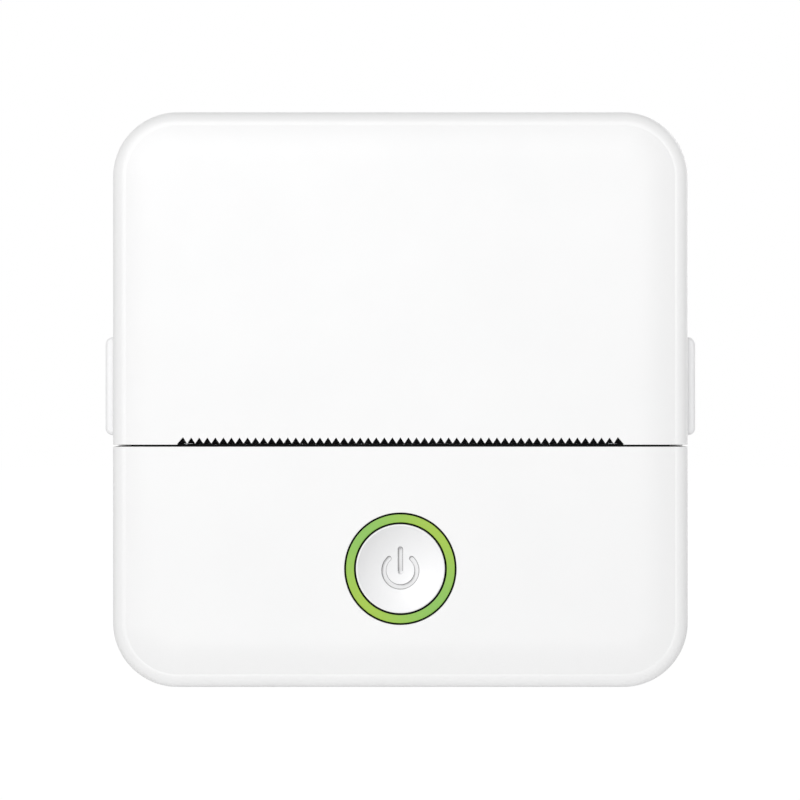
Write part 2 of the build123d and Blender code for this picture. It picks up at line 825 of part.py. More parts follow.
bar_y = inner_front_y + bar_gap
arm_front_y = inner_front_y + 0.3
arm_outline = (
    [bay_point(liner_outer, angle) for angle in (100, 115, 130, 145, 160, 172)]
    + [
        (arm_front_y, bay_z - 1.0),
        (arm_front_y, platen_z - 2.8),
        (platen_y - 5.4, platen_z - 2.8),
        (platen_y - 4.0, platen_z - 2.3),
        (platen_y + 3.4, platen_z - 2.1),
        (platen_y + 4.4, platen_z + 1.3),
        (platen_y + 2.4, platen_z + 5.3),
    ]
    + [bay_point(arm_hollow, angle) for angle in (222, 204, 186, 168, 150, 132, 116, 106)]
)
pad_inner = arm_inner + 0.6
pad_outer = inner_half - 1.3
pad_thickness_y = 1.2
with BuildPart() as cover_frame:
    with BuildSketch(at_x(-arm_outer)):
        with Locations((bay_y, bay_z)):
            Circle(liner_outer)
            Circle(liner_inner, mode=Mode.SUBTRACT)
        with BuildLine():
            Polyline(
                (bay_y, bay_z),
                bay_point(2 * bay_radius, 101),
                bay_point(2 * bay_radius, 45),
                bay_point(2 * bay_radius, -45),
                bay_point(2 * bay_radius, 216),
                close=True,
            )
        make_face(mode=Mode.SUBTRACT)
        with BuildLine():
            Polyline(
                (bar_y, bar_low_z),
                (bar_y, bay_z - 6.8),
                (bar_y + 2.15, bay_z - 7.4),
                (bar_y + bar_thickness + 0.35, platen_z + 5.7),
                (bar_y + bar_thickness, platen_z - 2.3),
                (bar_y + bar_thickness, bar_low_z),
                close=True,
            )
        make_face()
    extrude(amount=2 * arm_outer)
    for side in (-1, 1):
        arm_from = arm_inner if side > 0 else -arm_outer
        with BuildSketch(at_x(arm_from)):
            with BuildLine():
                Polyline(*arm_outline, close=True)
            make_face()
            with Locations((platen_y, platen_z)):
                Circle(bush_radius + bush_rim)
        extrude(amount=arm_thickness)
        with BuildSketch(at_x(arm_from)):
            with Locations((platen_y, platen_z)):
                Circle(bush_radius)
        extrude(amount=arm_thickness, mode=Mode.SUBTRACT)
        with BuildSketch(at_y(cover_boss_y + pad_thickness_y)):
            for z in cover_boss_zs:
                with Locations((side * (pad_inner + pad_outer) / 2, z)):
                    Rectangle(pad_outer - pad_inner, 5.0)
                with Locations((side * cover_boss_x, z)):
                    Circle(screw_radius + hole_slack, mode=Mode.SUBTRACT)
        extrude(amount=pad_thickness_y)
save(cover_frame, "cover_frame")

# Roller: steel shaft, rubber sleeve and two bearings
shaft_left = -arm_outer - 0.7
shaft_right = gear_a_start + gear_a_width + running_gap
platen_half = plate_inner - platen_end_gap
with BuildPart() as platen_shaft:
    with BuildSketch(at_x(shaft_left)):
        with Locations((platen_y, platen_z)):
            Circle(shaft_radius)
    extrude(amount=shaft_right - shaft_left)
    chamfer(platen_shaft.edges().filter_by(GeomType.CIRCLE), 0.25)
save(platen_shaft, "platen_shaft")

with BuildPart() as platen_rubber:
    with BuildSketch(at_x(-platen_half)):
        with Locations((platen_y, platen_z)):
            Circle(platen_radius)
            Circle(shaft_radius, mode=Mode.SUBTRACT)
    extrude(amount=2 * platen_half)
save(platen_rubber, "platen_rubber")

with BuildPart() as platen_bearings:
    for start in (plate_inner - running_gap, -arm_outer):
        with BuildSketch(at_x(start)):
            with Locations((platen_y, platen_z)):
                Circle(bush_radius)
                Circle(shaft_radius + running_gap, mode=Mode.SUBTRACT)
        extrude(amount=arm_outer - plate_inner + running_gap)
save(platen_bearings, "platen_bearings")

# Gears: roller gear, two-step idler, motor pinion
toward_idler = idler_angle
platen_gear = gear(platen_teeth, toward_idler, (platen_y, platen_z), gear_a_start, gear_a_width, shaft_radius)
platen_gear.label = "platen_gear"
export_step(platen_gear, "parts/platen_gear.step")

small_phase = idler_angle + 180 + 180 / small_idler_teeth
idler_centre = (idler_y, idler_z)
stud_bore = stud_radius + running_gap
small_idler = gear(
    small_idler_teeth, small_phase, idler_centre, gear_a_start, gear_a_width, stud_bore
)
large_phase = motor_angle
large_idler = gear(
    large_idler_teeth, large_phase, idler_centre, gear_b_start, gear_b_width, stud_bore
)
with BuildPart() as idler_gear:
    add(small_idler)
    add(large_idler)
    with BuildSketch(at_x(gear_a_start + gear_a_width)):
        with Locations((idler_y, idler_z)):
            Circle(gear_hub_radius)
            Circle(stud_radius + running_gap, mode=Mode.SUBTRACT)
    extrude(amount=gear_gap)
save(idler_gear, "idler_gear")

pinion_phase = motor_angle + 180 + 180 / pinion_teeth
motor_pinion = gear(
    pinion_teeth,
    pinion_phase,
    (motor_y, motor_z),
    gear_b_start,
    gear_b_width,
    motor_shaft_radius,
)
motor_pinion.label = "motor_pinion"
export_step(motor_pinion, "parts/motor_pinion.step")

with BuildPart() as idler_pin:
    with BuildSketch(at_x(plate_outer)):
        with Locations((idler_y, idler_z)):
            Circle(stud_radius)
    extrude(amount=gear_b_start + gear_b_width + running_gap + clip_thickness + 0.05 - plate_outer)
    with BuildSketch(at_x(plate_outer)):
        with Locations((idler_y, idler_z)):
            Circle(stud_flange)
    extrude(amount=gear_a_start - running_gap - plate_outer)
    with BuildSketch(at_x(gear_b_start + gear_b_width + running_gap)):
        with Locations((idler_y, idler_z)):
            Circle(clip_radius)
    extrude(amount=clip_thickness)
save(idler_pin, "idler_pin")

# Stepper motor on the right plate
with BuildPart() as motor_body:
    with BuildSketch(at_x(motor_face - motor_length)):
        with Locations((motor_y, motor_z)):
            Circle(motor_radius)
    extrude(amount=motor_length)
    fillet(motor_body.edges().filter_by(GeomType.CIRCLE).sort_by(Axis.X)[0], 0.5)
    with BuildSketch(at_x(motor_face)):
        with Locations((motor_y, motor_z)):
            Circle(motor_shaft_radius + running_gap)
    extrude(amount=-motor_length + 1, mode=Mode.SUBTRACT)
save(motor_body, "motor_body")

with BuildPart() as motor_bracket:
    with BuildSketch(at_x(motor_face)):
        with Locations((motor_y, motor_z)):
            Circle(motor_radius)
        with Locations(*motor_ears):
            Circle(motor_ear_radius)
        make_hull()
        with Locations((motor_y, motor_z)):
            Circle(motor_shaft_hole, mode=Mode.SUBTRACT)
        with Locations(*motor_ears):
            Circle(small_screw_radius + hole_slack, mode=Mode.SUBTRACT)
    extrude(amount=motor_plate)
save(motor_bracket, "motor_bracket")

with BuildPart() as motor_shaft:
    with BuildSketch(at_x(motor_face - motor_length + 1.5)):
        with Locations((motor_y, motor_z)):
            Circle(motor_shaft_radius)
    extrude(amount=gear_b_start + gear_b_width + 0.1 - motor_face + motor_length - 1.5)
save(motor_shaft, "motor_shaft")

# Print head: aluminium sink on two pivots, ceramic strip with its heater line
def head_bar(reach_from, reach_to, low, high, half):
    with BuildPart() as bar:
        with BuildSketch(at_x(-half)):
            with BuildLine():
                Polyline(
                    along_head(reach_from, low),
                    along_head(reach_to, low),
                    along_head(reach_to, high),
                    along_head(reach_from, high),
                    close=True,
                )
            make_face()
        extrude(amount=2 * half)
    return bar.part


sink_low = -substrate_thickness - sink_thickness
sink_half = plate_inner - sink_end_gap
sink_bar = head_bar(-sink_front, sink_back, sink_low, -substrate_thickness, sink_half)
with BuildPart() as head_sink:
    add(sink_bar)
    for side in (-1, 1):
        stub_from = sink_half if side > 0 else -plate_outer
        with BuildSketch(at_x(stub_from)):
            with Locations((pivot_y, pivot_z)):
                Circle(pivot_radius)
        extrude(amount=plate_outer - sink_half)
save(head_sink, "head_heatsink")

head_strip = head_bar(-strip_front, strip_back, -substrate_thickness, 0, sink_half - 0.6)
head_strip.label = "head_substrate"
export_step(head_strip, "parts/head_substrate.step")

# Head connector under the sink and the flat cable down to the board
socket_bar = head_bar(3.2, 6.2, sink_low - 1.5, sink_low, 9.5)
with BuildPart() as head_socket:
    add(socket_bar)
save(head_socket, "head_socket")

flex_top = along_head(4.7, sink_low - 1.75)
with BuildPart() as head_flex:
    with BuildSketch(at_x(-8.0)):
        with BuildLine() as flex_line:
            FilletPolyline(
                flex_top,
                (flex_top[0] + 0.35, mouth_z - 4.0),
                (board_back_y + 6.8, board_high_z - 2.5),
                (board_back_y + 1.8, board_high_z - 5.5),
                radius=2.2,
            )
            offset(amount=0.14)
        make_face()
    extrude(amount=16.0)
save(head_flex, "head_flex")

# Springs under the head
head_spring_x = 18.0
head_spring_radius = 1.6
head_spring_wire = 0.22
head_spring_room = 0.95
spring_y = platen_y
sink_corner_y, sink_corner_z = along_head(0, sink_low)
sink_under_z = sink_corner_z + (spring_y - sink_corner_y) * math.tan(math.radians(nip_angle))
head_spring_parts = [
    spring(
        (side * head_spring_x, spring_y, crossbar_high_z + head_spring_wire + running_gap),
        (0, 0, 1),
        sink_under_z - crossbar_high_z - head_spring_room,
        head_spring_radius,
        head_spring_wire,
        4,
    )
    for side in (-1, 1)
]
with BuildPart() as head_springs:
    for coil in head_spring_parts:
        add(coil)
save(head_springs, "head_springs")

# Main board with its notch for the post, held by four bosses
with BuildPart() as main_board:
    with BuildSketch(at_y(board_back_y)):
        with Locations(((board_left + board_right) / 2, (board_low_z + board_high_z) / 2)):
            Rectangle(board_right - board_left, board_high_z - board_low_z)
        with Locations((board_right, board_low_z)):
            Rectangle(
                2 * (board_right - post_x + post_radius + 0.4),
                2 * (post_z + post_radius + 0.5 - board_low_z),
                mode=Mode.SUBTRACT,
            )
        with Locations(*board_bosses):
            Circle(small_screw_radius + hole_slack, mode=Mode.SUBTRACT)
    extrude(amount=board_thickness)
save(main_board, "main_board")

# Chips, coils and a capacitor on the board's back
with BuildPart() as board_parts:
    with BuildSketch(at_y(board_back_y)):
        with Locations((15.4, board_mid_z)):
            Rectangle(8.6, 8.6)
        with Locations((-26.4, board_mid_z - 0.6)):
            Rectangle(3.4, 4.4)
    extrude(amount=-1.1)
    with BuildSketch(at_y(board_back_y)):
        with Locations((23.4, board_mid_z)):
            Rectangle(4.4, 4.4)
        with Locations((-15.0, board_mid_z - 3.6)):
            Rectangle(4.4, 3.2)
    extrude(amount=-1.8)
    with BuildSketch(at_y(board_back_y)):
        with Locations((-21.4, board_mid_z)):
            Circle(2.4)
    extrude(amount=-5.4)
save(board_parts, "board_components")

# Sockets for the head's flat cable and for the battery
battery_socket_x = -15.0
battery_socket_z = board_mid_z + 3.0
with BuildPart() as board_sockets:
    with BuildSketch(at_y(board_back_y)):
        with Locations((0, board_high_z - 4.3)):
            Rectangle(18.4, 3.4)
        with Locations((battery_socket_x, battery_socket_z)):
            Rectangle(5.6, 4.4)
    extrude(amount=-1.6)
save(board_sockets, "board_sockets")

# Radio module on the board's front
with BuildPart() as radio_module:
    with BuildSketch(at_y(board_y)):
        with Locations((-19, board_mid_z)):
            Rectangle(13.0, 10.5)
    extrude(amount=0.8)
    with BuildSketch(at_y(board_y - 0.8)):
        with Locations((-17, board_mid_z)):
            RectangleRounded(9.0, 9.5, 0.5)
    extrude(amount=1.3)
save(radio_module, "radio_module")

# Lamps for the button's ring
with BuildPart() as ring_leds:
    with BuildSketch(at_y(board_y)):
        with Locations((0, button_z)):
            with PolarLocations((ring_outer + ring_inner) / 2, 4, start_angle=45):
                Rectangle(1.6, 1.6)
    extrude(amount=lamp_height)
save(ring_leds, "ring_leds")

# Side port
with BuildPart() as usb_port:
    with BuildSketch(at_x(port_outer_x - port_length)):
        with Locations((board_back_y + port_height / 2, port_z)):
            RectangleRounded(port_height, port_width, port_height / 2 - 0.38)
    extrude(amount=port_length)
    with BuildSketch(at_x(port_outer_x)):
        with Locations((board_back_y + port_height / 2, port_z)):
            RectangleRounded(
                port_height - 2 * port_wall,
                port_width - 2 * port_wall,
                port_height / 2 - port_wall - 0.33,
            )
    extrude(amount=-port_length + 1.0, mode=Mode.SUBTRACT)
save(usb_port, "usb_port")

with BuildPart() as usb_tongue:
    with BuildSketch(at_x(port_outer_x - port_length + 1.0)):
        with Locations((board_back_y + port_height / 2, port_z)):
            Rectangle(0.7, port_width - 2.3)
    extrude(amount=port_length - 2.0)
save(usb_tongue, "usb_tongue")

# Button: lit ring, dished cap, stem, switch
ring_front_y = front_y + ring_recess
with BuildPart() as light_ring:
    with BuildSketch(at_y(ring_front_y)):
        with Locations((0, button_z)):
            Circle(ring_outer)
            Circle(ring_inner, mode=Mode.SUBTRACT)
    extrude(amount=-ring_step)
    with BuildSketch(at_y(inner_front_y)):
        with Locations((0, button_z)):
            Circle(ring_flange_radius)
            Circle(ring_bore, mode=Mode.SUBTRACT)
    extrude(amount=-ring_flange_thickness)
    with BuildSketch(at_y(board_y - lamp_height - 0.2)):
        with Locations((0, button_z)):
            Circle(ring_outer)
            Circle(ring_bore, mode=Mode.SUBTRACT)
    extrude(amount=board_y - lamp_height - 0.2 - ring_front_y - ring_step)
save(light_ring, "light_ring")

dish_sphere = (dish_radius**2 + dish_depth**2) / (2 * dish_depth)
flange_front_y = ring_front_y + ring_step + cap_flange_gap
flange_back_y = flange_front_y + cap_flange_thickness
symbol_y = front_y + dish_depth + symbol_depth
stem_end_y = board_y - switch_height - switch_stroke_room
with BuildPart() as power_cap:
    with BuildSketch(at_y(flange_back_y)):
        with Locations((0, button_z)):
            Circle(cap_radius)
    extrude(amount=flange_back_y - front_y)
    with BuildSketch(at_y(flange_back_y)):
        with Locations((0, button_z)):
            Circle(cap_flange_radius)
    extrude(amount=cap_flange_thickness)
    with Locations((0, front_y - dish_sphere + dish_depth, button_z)):
        Sphere(dish_sphere, mode=Mode.SUBTRACT)
    with BuildSketch(at_y(symbol_y)):
        with Locations((0, button_z + symbol_bar_rise)):
            Rectangle(symbol_bar_width, symbol_bar_height)
    extrude(amount=3, mode=Mode.SUBTRACT)
    with BuildSketch(at_y(symbol_y)):
        with Locations((0, button_z - symbol_arc_drop)):
            Circle(symbol_arc_radius + symbol_line / 2)
            Circle(symbol_arc_radius - symbol_line / 2, mode=Mode.SUBTRACT)
        gap_reach = cap_radius * math.tan(math.radians(symbol_gap_half))
        with BuildLine():
            Polyline(
                (0, button_z - symbol_arc_drop),
                (gap_reach, button_z - symbol_arc_drop + cap_radius),
                (-gap_reach, button_z - symbol_arc_drop + cap_radius),
                close=True,
            )
        make_face(mode=Mode.SUBTRACT)
    extrude(amount=3, mode=Mode.SUBTRACT)
    with BuildSketch(at_y(stem_end_y)):
        with Locations((0, button_z)):
            Circle(stem_radius)
    extrude(amount=stem_end_y - flange_back_y)
save(power_cap, "power_cap")

plunger_end_y = board_y - switch_height + 0.85
with BuildPart() as tact_switch:
    with BuildSketch(at_y(board_y)):
        with Locations((0, button_z)):
            RectangleRounded(switch_side, switch_side, 0.4)
    extrude(amount=switch_height)
    with BuildSketch(at_y(board_y - switch_height)):
        with Locations((0, button_z)):
            Circle(plunger_radius + 0.1)
    extrude(amount=-0.85 - press_travel - 0.25, mode=Mode.SUBTRACT)
save(tact_switch, "tact_switch")

with BuildPart() as switch_plunger:
    with BuildSketch(at_y(stem_end_y)):
        with Locations((0, button_z)):
            Circle(plunger_radius)
    extrude(amount=stem_end_y - plunger_end_y)
save(switch_plunger, "switch_plunger")

# Battery against the back wall
with BuildPart() as battery_pack:
    with BuildSketch(at_y(battery_back_y)):
        with Locations(((battery_left + battery_right) / 2, (battery_low_z + battery_high_z) / 2)):
            Rectangle(battery_right - battery_left, battery_high_z - battery_low_z)
    extrude(amount=battery_back_y - battery_front_y)
    fillet(battery_pack.edges().filter_by(Axis.Z), battery_edge)
save(battery_pack, "battery_pack")

with BuildPart() as battery_pad:
    with BuildSketch(at_y(inner_back_y)):
        with Locations(((battery_left + battery_right) / 2, (battery_low_z + battery_high_z) / 2)):
            RectangleRounded(
                0.73 * (battery_right - battery_left), 0.8 * (battery_high_z - battery_low_z), 1.5
            )
    extrude(amount=inner_back_y - battery_back_y)
save(battery_pad, "battery_pad")

# Battery leads, tucked down from the pack to its socket
lead_parts = []
for shift in (-lead_spacing / 2, lead_spacing / 2):
    with BuildPart() as lead:
        with BuildLine() as lead_path:
            FilletPolyline(
                (battery_socket_x + shift, battery_front_y, battery_socket_z + 8.0),
                (battery_socket_x + shift, battery_front_y - 3.8, battery_socket_z + 8.0),
                (battery_socket_x + shift, board_back_y + 6.5, battery_socket_z),
                (battery_socket_x + shift, board_back_y + 1.6, battery_socket_z),
                radius=2.0,
            )
        with BuildSketch(Plane(origin=lead_path.line @ 0, z_dir=lead_path.line % 0)):
            Circle(lead_radius)
        sweep()
    lead_parts.append(lead.part)
with BuildPart() as battery_leads:
    for piece in lead_parts:
        add(piece)
save(battery_leads, "battery_leads")


# Release buttons: outside tab, guide plate, hook arm and nose
def release_button(side):
    out_to = case_width / 2 + tab_proud
    guide_outer = inner_half - 2 * running_gap
    guide_inner = guide_outer - guide_thickness
    hook_inner = guide_outer - hook_thickness
    with BuildPart() as button:
        with BuildSketch(at_y(tab_mid_y + tab_depth / 2)) as outline:
            with Locations((side * (guide_outer + out_to) / 2, tab_mid_z)):
                Rectangle(out_to - guide_outer, tab_height)
            corners = outline.vertices().sort_by(Axis.X)
            fillet(corners[-2:] if side > 0 else corners[:2], tab_edge_radius)
        extrude(amount=tab_depth)
        ends = button.faces().filter_by(Axis.Y)
        rims = [edge for edge in ends.edges() if abs(edge.center().X) > guide_outer + 0.01]
        fillet(rims, tab_corner)
        with BuildSketch(at_x(side * guide_inner)):
            with Locations((tab_mid_y, tab_mid_z + guide_head / 3)):
                Rectangle(tab_depth + 2 * guide_margin, tab_height + guide_head + 0.4)
        extrude(amount=side * guide_thickness)
        with BuildSketch(Plane.XY.offset(tab_mid_z - hook_height / 2)):
            with BuildLine():
                Polyline(
                    (side * hook_inner, tab_mid_y + 1.0),
                    (side * hook_inner, nose_y + nose_length),
                    (side * (inner_half + 0.2), nose_y + nose_length),
                    (side * (inner_half + nose_reach), nose_y + nose_length - 0.7),
                    (side * (inner_half + nose_reach), nose_y),
                    (side * guide_outer, nose_y),
                    (side * guide_outer, tab_mid_y + 1.0),
                    close=True,
                )
            make_face()
        extrude(amount=hook_height)
    return button


release_right = release_button(1)
save(release_right, "release_button_right")
release_left = release_button(-1)
save(release_left, "release_button_left")

# Springs behind the release buttons
release_spring_z = tab_mid_z + release_spring_rise
spring_seat_gap = 0.2
guide_inner_x = inner_half - 2 * running_gap - guide_thickness
spring_length = guide_inner_x - arm_outer - 2 * spring_seat_gap
release_springs = {}
for side, name in ((1, "release_spring_right"), (-1, "release_spring_left")):
    release_springs[name] = spring(
        (side * (arm_outer + spring_seat_gap), tab_mid_y, release_spring_z),
        (side, 0, 0),
        spring_length,
        release_spring_radius,
        release_spring_wire,
        5,
    )
    release_springs[name].label = name
    export_step(release_springs[name], f"parts/{name}.step")


# Screws
def screw_set(name, screws):
    with BuildPart() as group:
        for piece in screws:
            add(piece)
    save(group, name)


case_screw_length = post_screw_y + post_bore_depth - 0.5
chassis_screw_y = plate_back_y - plate_thickness
cover_screw_y = cover_boss_y + pad_thickness_y
large_head = (screw_head_radius, screw_head_height)
small_head = (small_head_radius, small_head_height)
case_set = [
    screw((side * post_x, post_screw_y, post_z), (0, -1, 0), *large_head, case_screw_radius,
          case_screw_length)
    for side in (-1, 1)
]
screw_set("case_screws", case_set)
chassis_set = [
    screw((x, chassis_screw_y, z), (0, 1, 0), *large_head, screw_radius, chassis_depth + 1.0)
    for x, z in chassis_bosses
]
screw_set("chassis_screws", chassis_set)
board_set = [
    screw((x, board_back_y, z), (0, -1, 0), *small_head, small_screw_radius, board_setback - 0.4)
    for x, z in board_bosses
]
screw_set("board_screws", board_set)
cover_set = [
    screw((x, cover_screw_y, z), (0, -1, 0), *large_head, screw_radius, pad_thickness_y + 4.3)
    for x, z in boss_places
]
screw_set("cover_screws", cover_set)
motor_set = [
    screw((motor_face, y, z), (1, 0, 0), *small_head, small_screw_radius,
          motor_plate + plate_thickness)
    for y, z in motor_ears
]
screw_set("motor_screws", motor_set)
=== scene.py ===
import json
import math

import bmesh
import bpy
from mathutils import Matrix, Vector


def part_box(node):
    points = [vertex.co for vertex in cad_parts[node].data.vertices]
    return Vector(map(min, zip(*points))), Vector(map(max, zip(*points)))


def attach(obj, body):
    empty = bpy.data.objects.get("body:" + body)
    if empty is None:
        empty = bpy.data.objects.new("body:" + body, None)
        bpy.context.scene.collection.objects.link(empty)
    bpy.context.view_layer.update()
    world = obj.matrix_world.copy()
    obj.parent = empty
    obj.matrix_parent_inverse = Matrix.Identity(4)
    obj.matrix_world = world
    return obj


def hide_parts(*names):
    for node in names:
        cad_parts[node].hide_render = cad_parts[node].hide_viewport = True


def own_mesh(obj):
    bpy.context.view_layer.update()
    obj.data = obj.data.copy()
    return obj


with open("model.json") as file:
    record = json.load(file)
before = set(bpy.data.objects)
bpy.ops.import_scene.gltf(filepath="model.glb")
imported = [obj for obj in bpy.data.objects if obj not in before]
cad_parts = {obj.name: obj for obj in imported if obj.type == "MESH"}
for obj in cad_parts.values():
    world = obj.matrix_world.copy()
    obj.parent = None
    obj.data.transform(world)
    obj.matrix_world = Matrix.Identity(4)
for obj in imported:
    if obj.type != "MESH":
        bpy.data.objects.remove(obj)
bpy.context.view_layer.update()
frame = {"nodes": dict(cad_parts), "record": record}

# Portable thermal printer.
# Pieces are drawn in millimetres and brought to metres when they are finished.
MM = 0.001
TO_MM = 1000.0
WHITE = (1.0, 1.0, 1.0, 1.0)


def low_of(node):
    """Lowest corner of a node, in millimetres."""
    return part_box(node)[0] * TO_MM


def high_of(node):
    """Highest corner of a node, in millimetres."""
    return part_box(node)[1] * TO_MM


# Case
front_y = low_of("front_bezel").y
back_y = high_of("rear_shell").y
half_width = high_of("front_bezel").x
case_top = high_of("paper_cover").z
wall = 2.0
inner_front_y = front_y + wall
inner_back_y = back_y - wall
inner_half = half_width - wall
corner_radius = 9.0
corner_steps = 28
edge_radius = 1.55
edge_steps = 12
lip_width = 0.32
crown_drop = 0.34
crown_reach = 6.6
crown_steps = 12
back_edge_radius = 3.0
back_edge_y = back_y - back_edge_radius
cover_low_z = low_of("paper_cover").z
panel_high_z = high_of("front_bezel").z
cover_back_y = -0.15
shell_front_y = 0.15
seam_round = 0.07

# Hinge along the top
hinge_y = 1.0
hinge_z = case_top - 2.0
barrel_half = 36.5
barrel_radius = 2.0
relief_half = 36.8
relief_radius = 2.3
rod_bore = 0.8
rod_half = 30.05
ear_inner = 19.0
ear_width = 6.0

# Serrated mouth
tooth_pitch = 1.118
tooth_count = 53
tooth_half = 0.539
tooth_height = 0.82
tooth_foot_z = cover_low_z + 0.2
end_tooth_height = 0.87
end_tooth_gap = 0.02
notch_root = 0.05
mouth_half = 31.0
mouth_back_y = inner_front_y + 0.5

# Release buttons' openings
tab_mid_y = -10.3
tab_mid_z = 41.875
tab_half_depth = 5.3
tab_half_height = 6.825
tab_clearance = 0.15
tab_corner = 0.45

# Port's slot
port_y = -8.77
port_z = 14.6
slot_half_depth = 1.98
slot_half_height = 4.82
slot_corner = 1.93

# Posts and screws: places across and up, radii
board_posts = ((-28.0, 7.5), (-28.0, 21.5), (28.0, 21.5), (24.0, 7.5))
cover_post_x = 34.4
cover_post_heights = (53.5, 67.0)
chassis_post_x = 33.6
chassis_post_heights = (37.0, 67.5)
corner_post_x = 34.0
corner_post_z = 5.6
corner_post_radius = 2.6
post_radius = 2.2
screw_radius = 0.9
well_radius = 2.0

# Power button and its ring
button_z = (low_of("light_ring").z + high_of("light_ring").z) / 2
ring_hole_radius = 7.8
ring_outer = 7.58
ring_inner = 6.42
ring_front_y = low_of("light_ring").y
ring_back_y = high_of("light_ring").y
cap_radius = 6.18
cap_flange_radius = 6.8
dish_depth = 1.8
dish_radius = 5.98
dish_sphere = (dish_radius**2 + dish_depth**2) / (2 * dish_depth)
groove_half = 0.375
groove_slope = 0.12
groove_depth = 0.32

# Cutters start in front of the case, and posts start inside the wall that carries them
outside_y = front_y - 1
cutter_front_y = front_y - 2
post_root = 0.3
# Points this near lie on one face, and a shape stands back by a hair where two faces would meet
near = 0.001
hair = 0.003

# Camera, at the photograph's straight view of the front
photo_mm_per_pixel = 0.1392
camera_x = -0.055
camera_z = 39.95
image_pixels = 800
lens = 300.0
sensor = 36.0
edge_plane_y = -17.2
view_distance = photo_mm_per_pixel * image_pixels * lens / sensor
camera_data = bpy.data.cameras.new("front_camera")
camera_data.lens = lens
camera_data.sensor_width = sensor
camera_data.clip_start = 0.01
camera_data.clip_end = 20.0
camera = bpy.data.objects.new("front_camera", camera_data)
camera.location = (camera_x * MM, (edge_plane_y - view_distance) * MM, camera_z * MM)
camera.rotation_euler = (math.pi / 2, 0.0, 0.0)
bpy.context.scene.collection.objects.link(camera)
bpy.context.scene.camera = camera


# Small steps used by every piece


def clear_selection():
    """Leaves edit mode and selects nothing."""
    if bpy.context.object and bpy.context.object.mode != "OBJECT":
        bpy.ops.object.mode_set(mode="OBJECT")
    bpy.ops.object.select_all(action="DESELECT")


def wake(piece):
    """Makes one piece the only selected and active one."""
    clear_selection()
    piece.select_set(True)
    bpy.context.view_layer.objects.active = piece


def settle(piece):
    """Puts the place, turn and size of a piece into its mesh."""
    wake(piece)
    bpy.ops.object.transform_apply(location=True, rotation=True, scale=True)
    return piece


def edit(piece):
    """Opens a piece in edit mode with nothing selected."""
    wake(piece)
    bpy.ops.object.mode_set(mode="EDIT")
    bpy.ops.mesh.select_all(action="DESELECT")


def along(facing, length):
    """A move of a length in one direction."""
    move = [0.0, 0.0, 0.0]
    move["xyz".index(facing)] = length
    return move


def pick_all():
    """Selects everything of the piece that is open."""
    bpy.ops.mesh.select_all(action="SELECT")


def pick_faces(piece, wanted):
    """Selects the faces whose middle and direction pass a test."""
    bpy.ops.mesh.select_mode(type="FACE")
    bpy.ops.mesh.select_all(action="DESELECT")
    shape = bmesh.from_edit_mesh(piece.data)
    for face in shape.faces:
        face.select_set(bool(wanted(face.calc_center_median(), face.normal)))
    bmesh.update_edit_mesh(piece.data)


def pick_ends(piece, facing):
    """Selects the faces that look straight forwards (-1) or backwards (1)."""
    pick_faces(piece, lambda middle, normal: normal.y * facing > 0.9)


def pick_edges(piece, wanted):
    """Selects the edges whose two ends both pass a test."""
    bpy.ops.mesh.select_mode(type="EDGE")
    bpy.ops.mesh.select_all(action="DESELECT")
    shape = bmesh.from_edit_mesh(piece.data)
    for line in shape.edges:
        line.select_set(bool(wanted(line.verts[0].co) and wanted(line.verts[1].co)))
    bmesh.update_edit_mesh(piece.data)


def pull(x=0.0, y=0.0, z=0.0):
    """Extrudes what is selected."""
    bpy.ops.mesh.extrude_region_move(TRANSFORM_OT_translate={"value": (x, y, z)})


def close_up(piece):
    """Joins doubled points and turns every face outwards, then leaves edit mode."""
    pick_all()
    bpy.ops.mesh.remove_doubles(threshold=0.0005)
    bpy.ops.mesh.normals_make_consistent(inside=False)
    bpy.ops.object.mode_set(mode="OBJECT")
    return piece


def clear_slivers(piece):
    """Removes the edges and faces of no extent that a cut or a rounding leaves."""
    edit(piece)
    bpy.ops.mesh.select_mode(type="VERT")
    pick_all()
    bpy.ops.mesh.remove_doubles(threshold=0.001)
    bpy.ops.mesh.dissolve_degenerate(threshold=0.001)
    bpy.ops.object.mode_set(mode="OBJECT")
    return piece


FACING = {"x": (0.0, math.pi / 2, 0.0), "y": (math.pi / 2, 0.0, 0.0), "z": (0.0, 0.0, 0.0)}


def plate(name, facing, low, high, corner=0.0, steps=8):
    """A flat outline with rounded corners across one direction, on the low side of two corner points."""
    low, high = Vector(low), Vector(high)
    size = high - low
    start = (low + high) / 2
    start["xyz".index(facing)] = low["xyz".index(facing)]
    clear_selection()
    bpy.ops.mesh.primitive_plane_add(size=1, location=start, rotation=FACING[facing])
    piece = bpy.context.object
    piece.name = name
    piece.scale = {"x": (size.z, size.y, 1), "y": (size.x, size.z, 1), "z": (size.x, size.y, 1)}[facing]
    settle(piece)
    if corner:
        edit(piece)
        pick_all()
        bpy.ops.mesh.bevel(offset=corner, segments=steps, affect="VERTICES", profile=0.5)
        bpy.ops.object.mode_set(mode="OBJECT")
    return piece


def slab(name, facing, low, high, corner=0.0, steps=8):
    """A plate drawn out to the high side of the two corner points."""
    piece = plate(name, facing, low, high, corner, steps)
    axis = "xyz".index(facing)
    edit(piece)
    pick_all()
    pull(*along(facing, high[axis] - low[axis]))
    return close_up(piece)


def rod(name, facing, start, length, radius, sides=64):
    """A round bar that starts at a point and runs along one direction."""
    axis = "xyz".index(facing)
    middle = Vector(start)
    middle[axis] += length / 2
    clear_selection()
    bpy.ops.mesh.primitive_cylinder_add(
        vertices=sides, radius=radius, depth=abs(length), location=middle, rotation=FACING[facing]
    )
    piece = bpy.context.object
    piece.name = name
    return settle(piece)


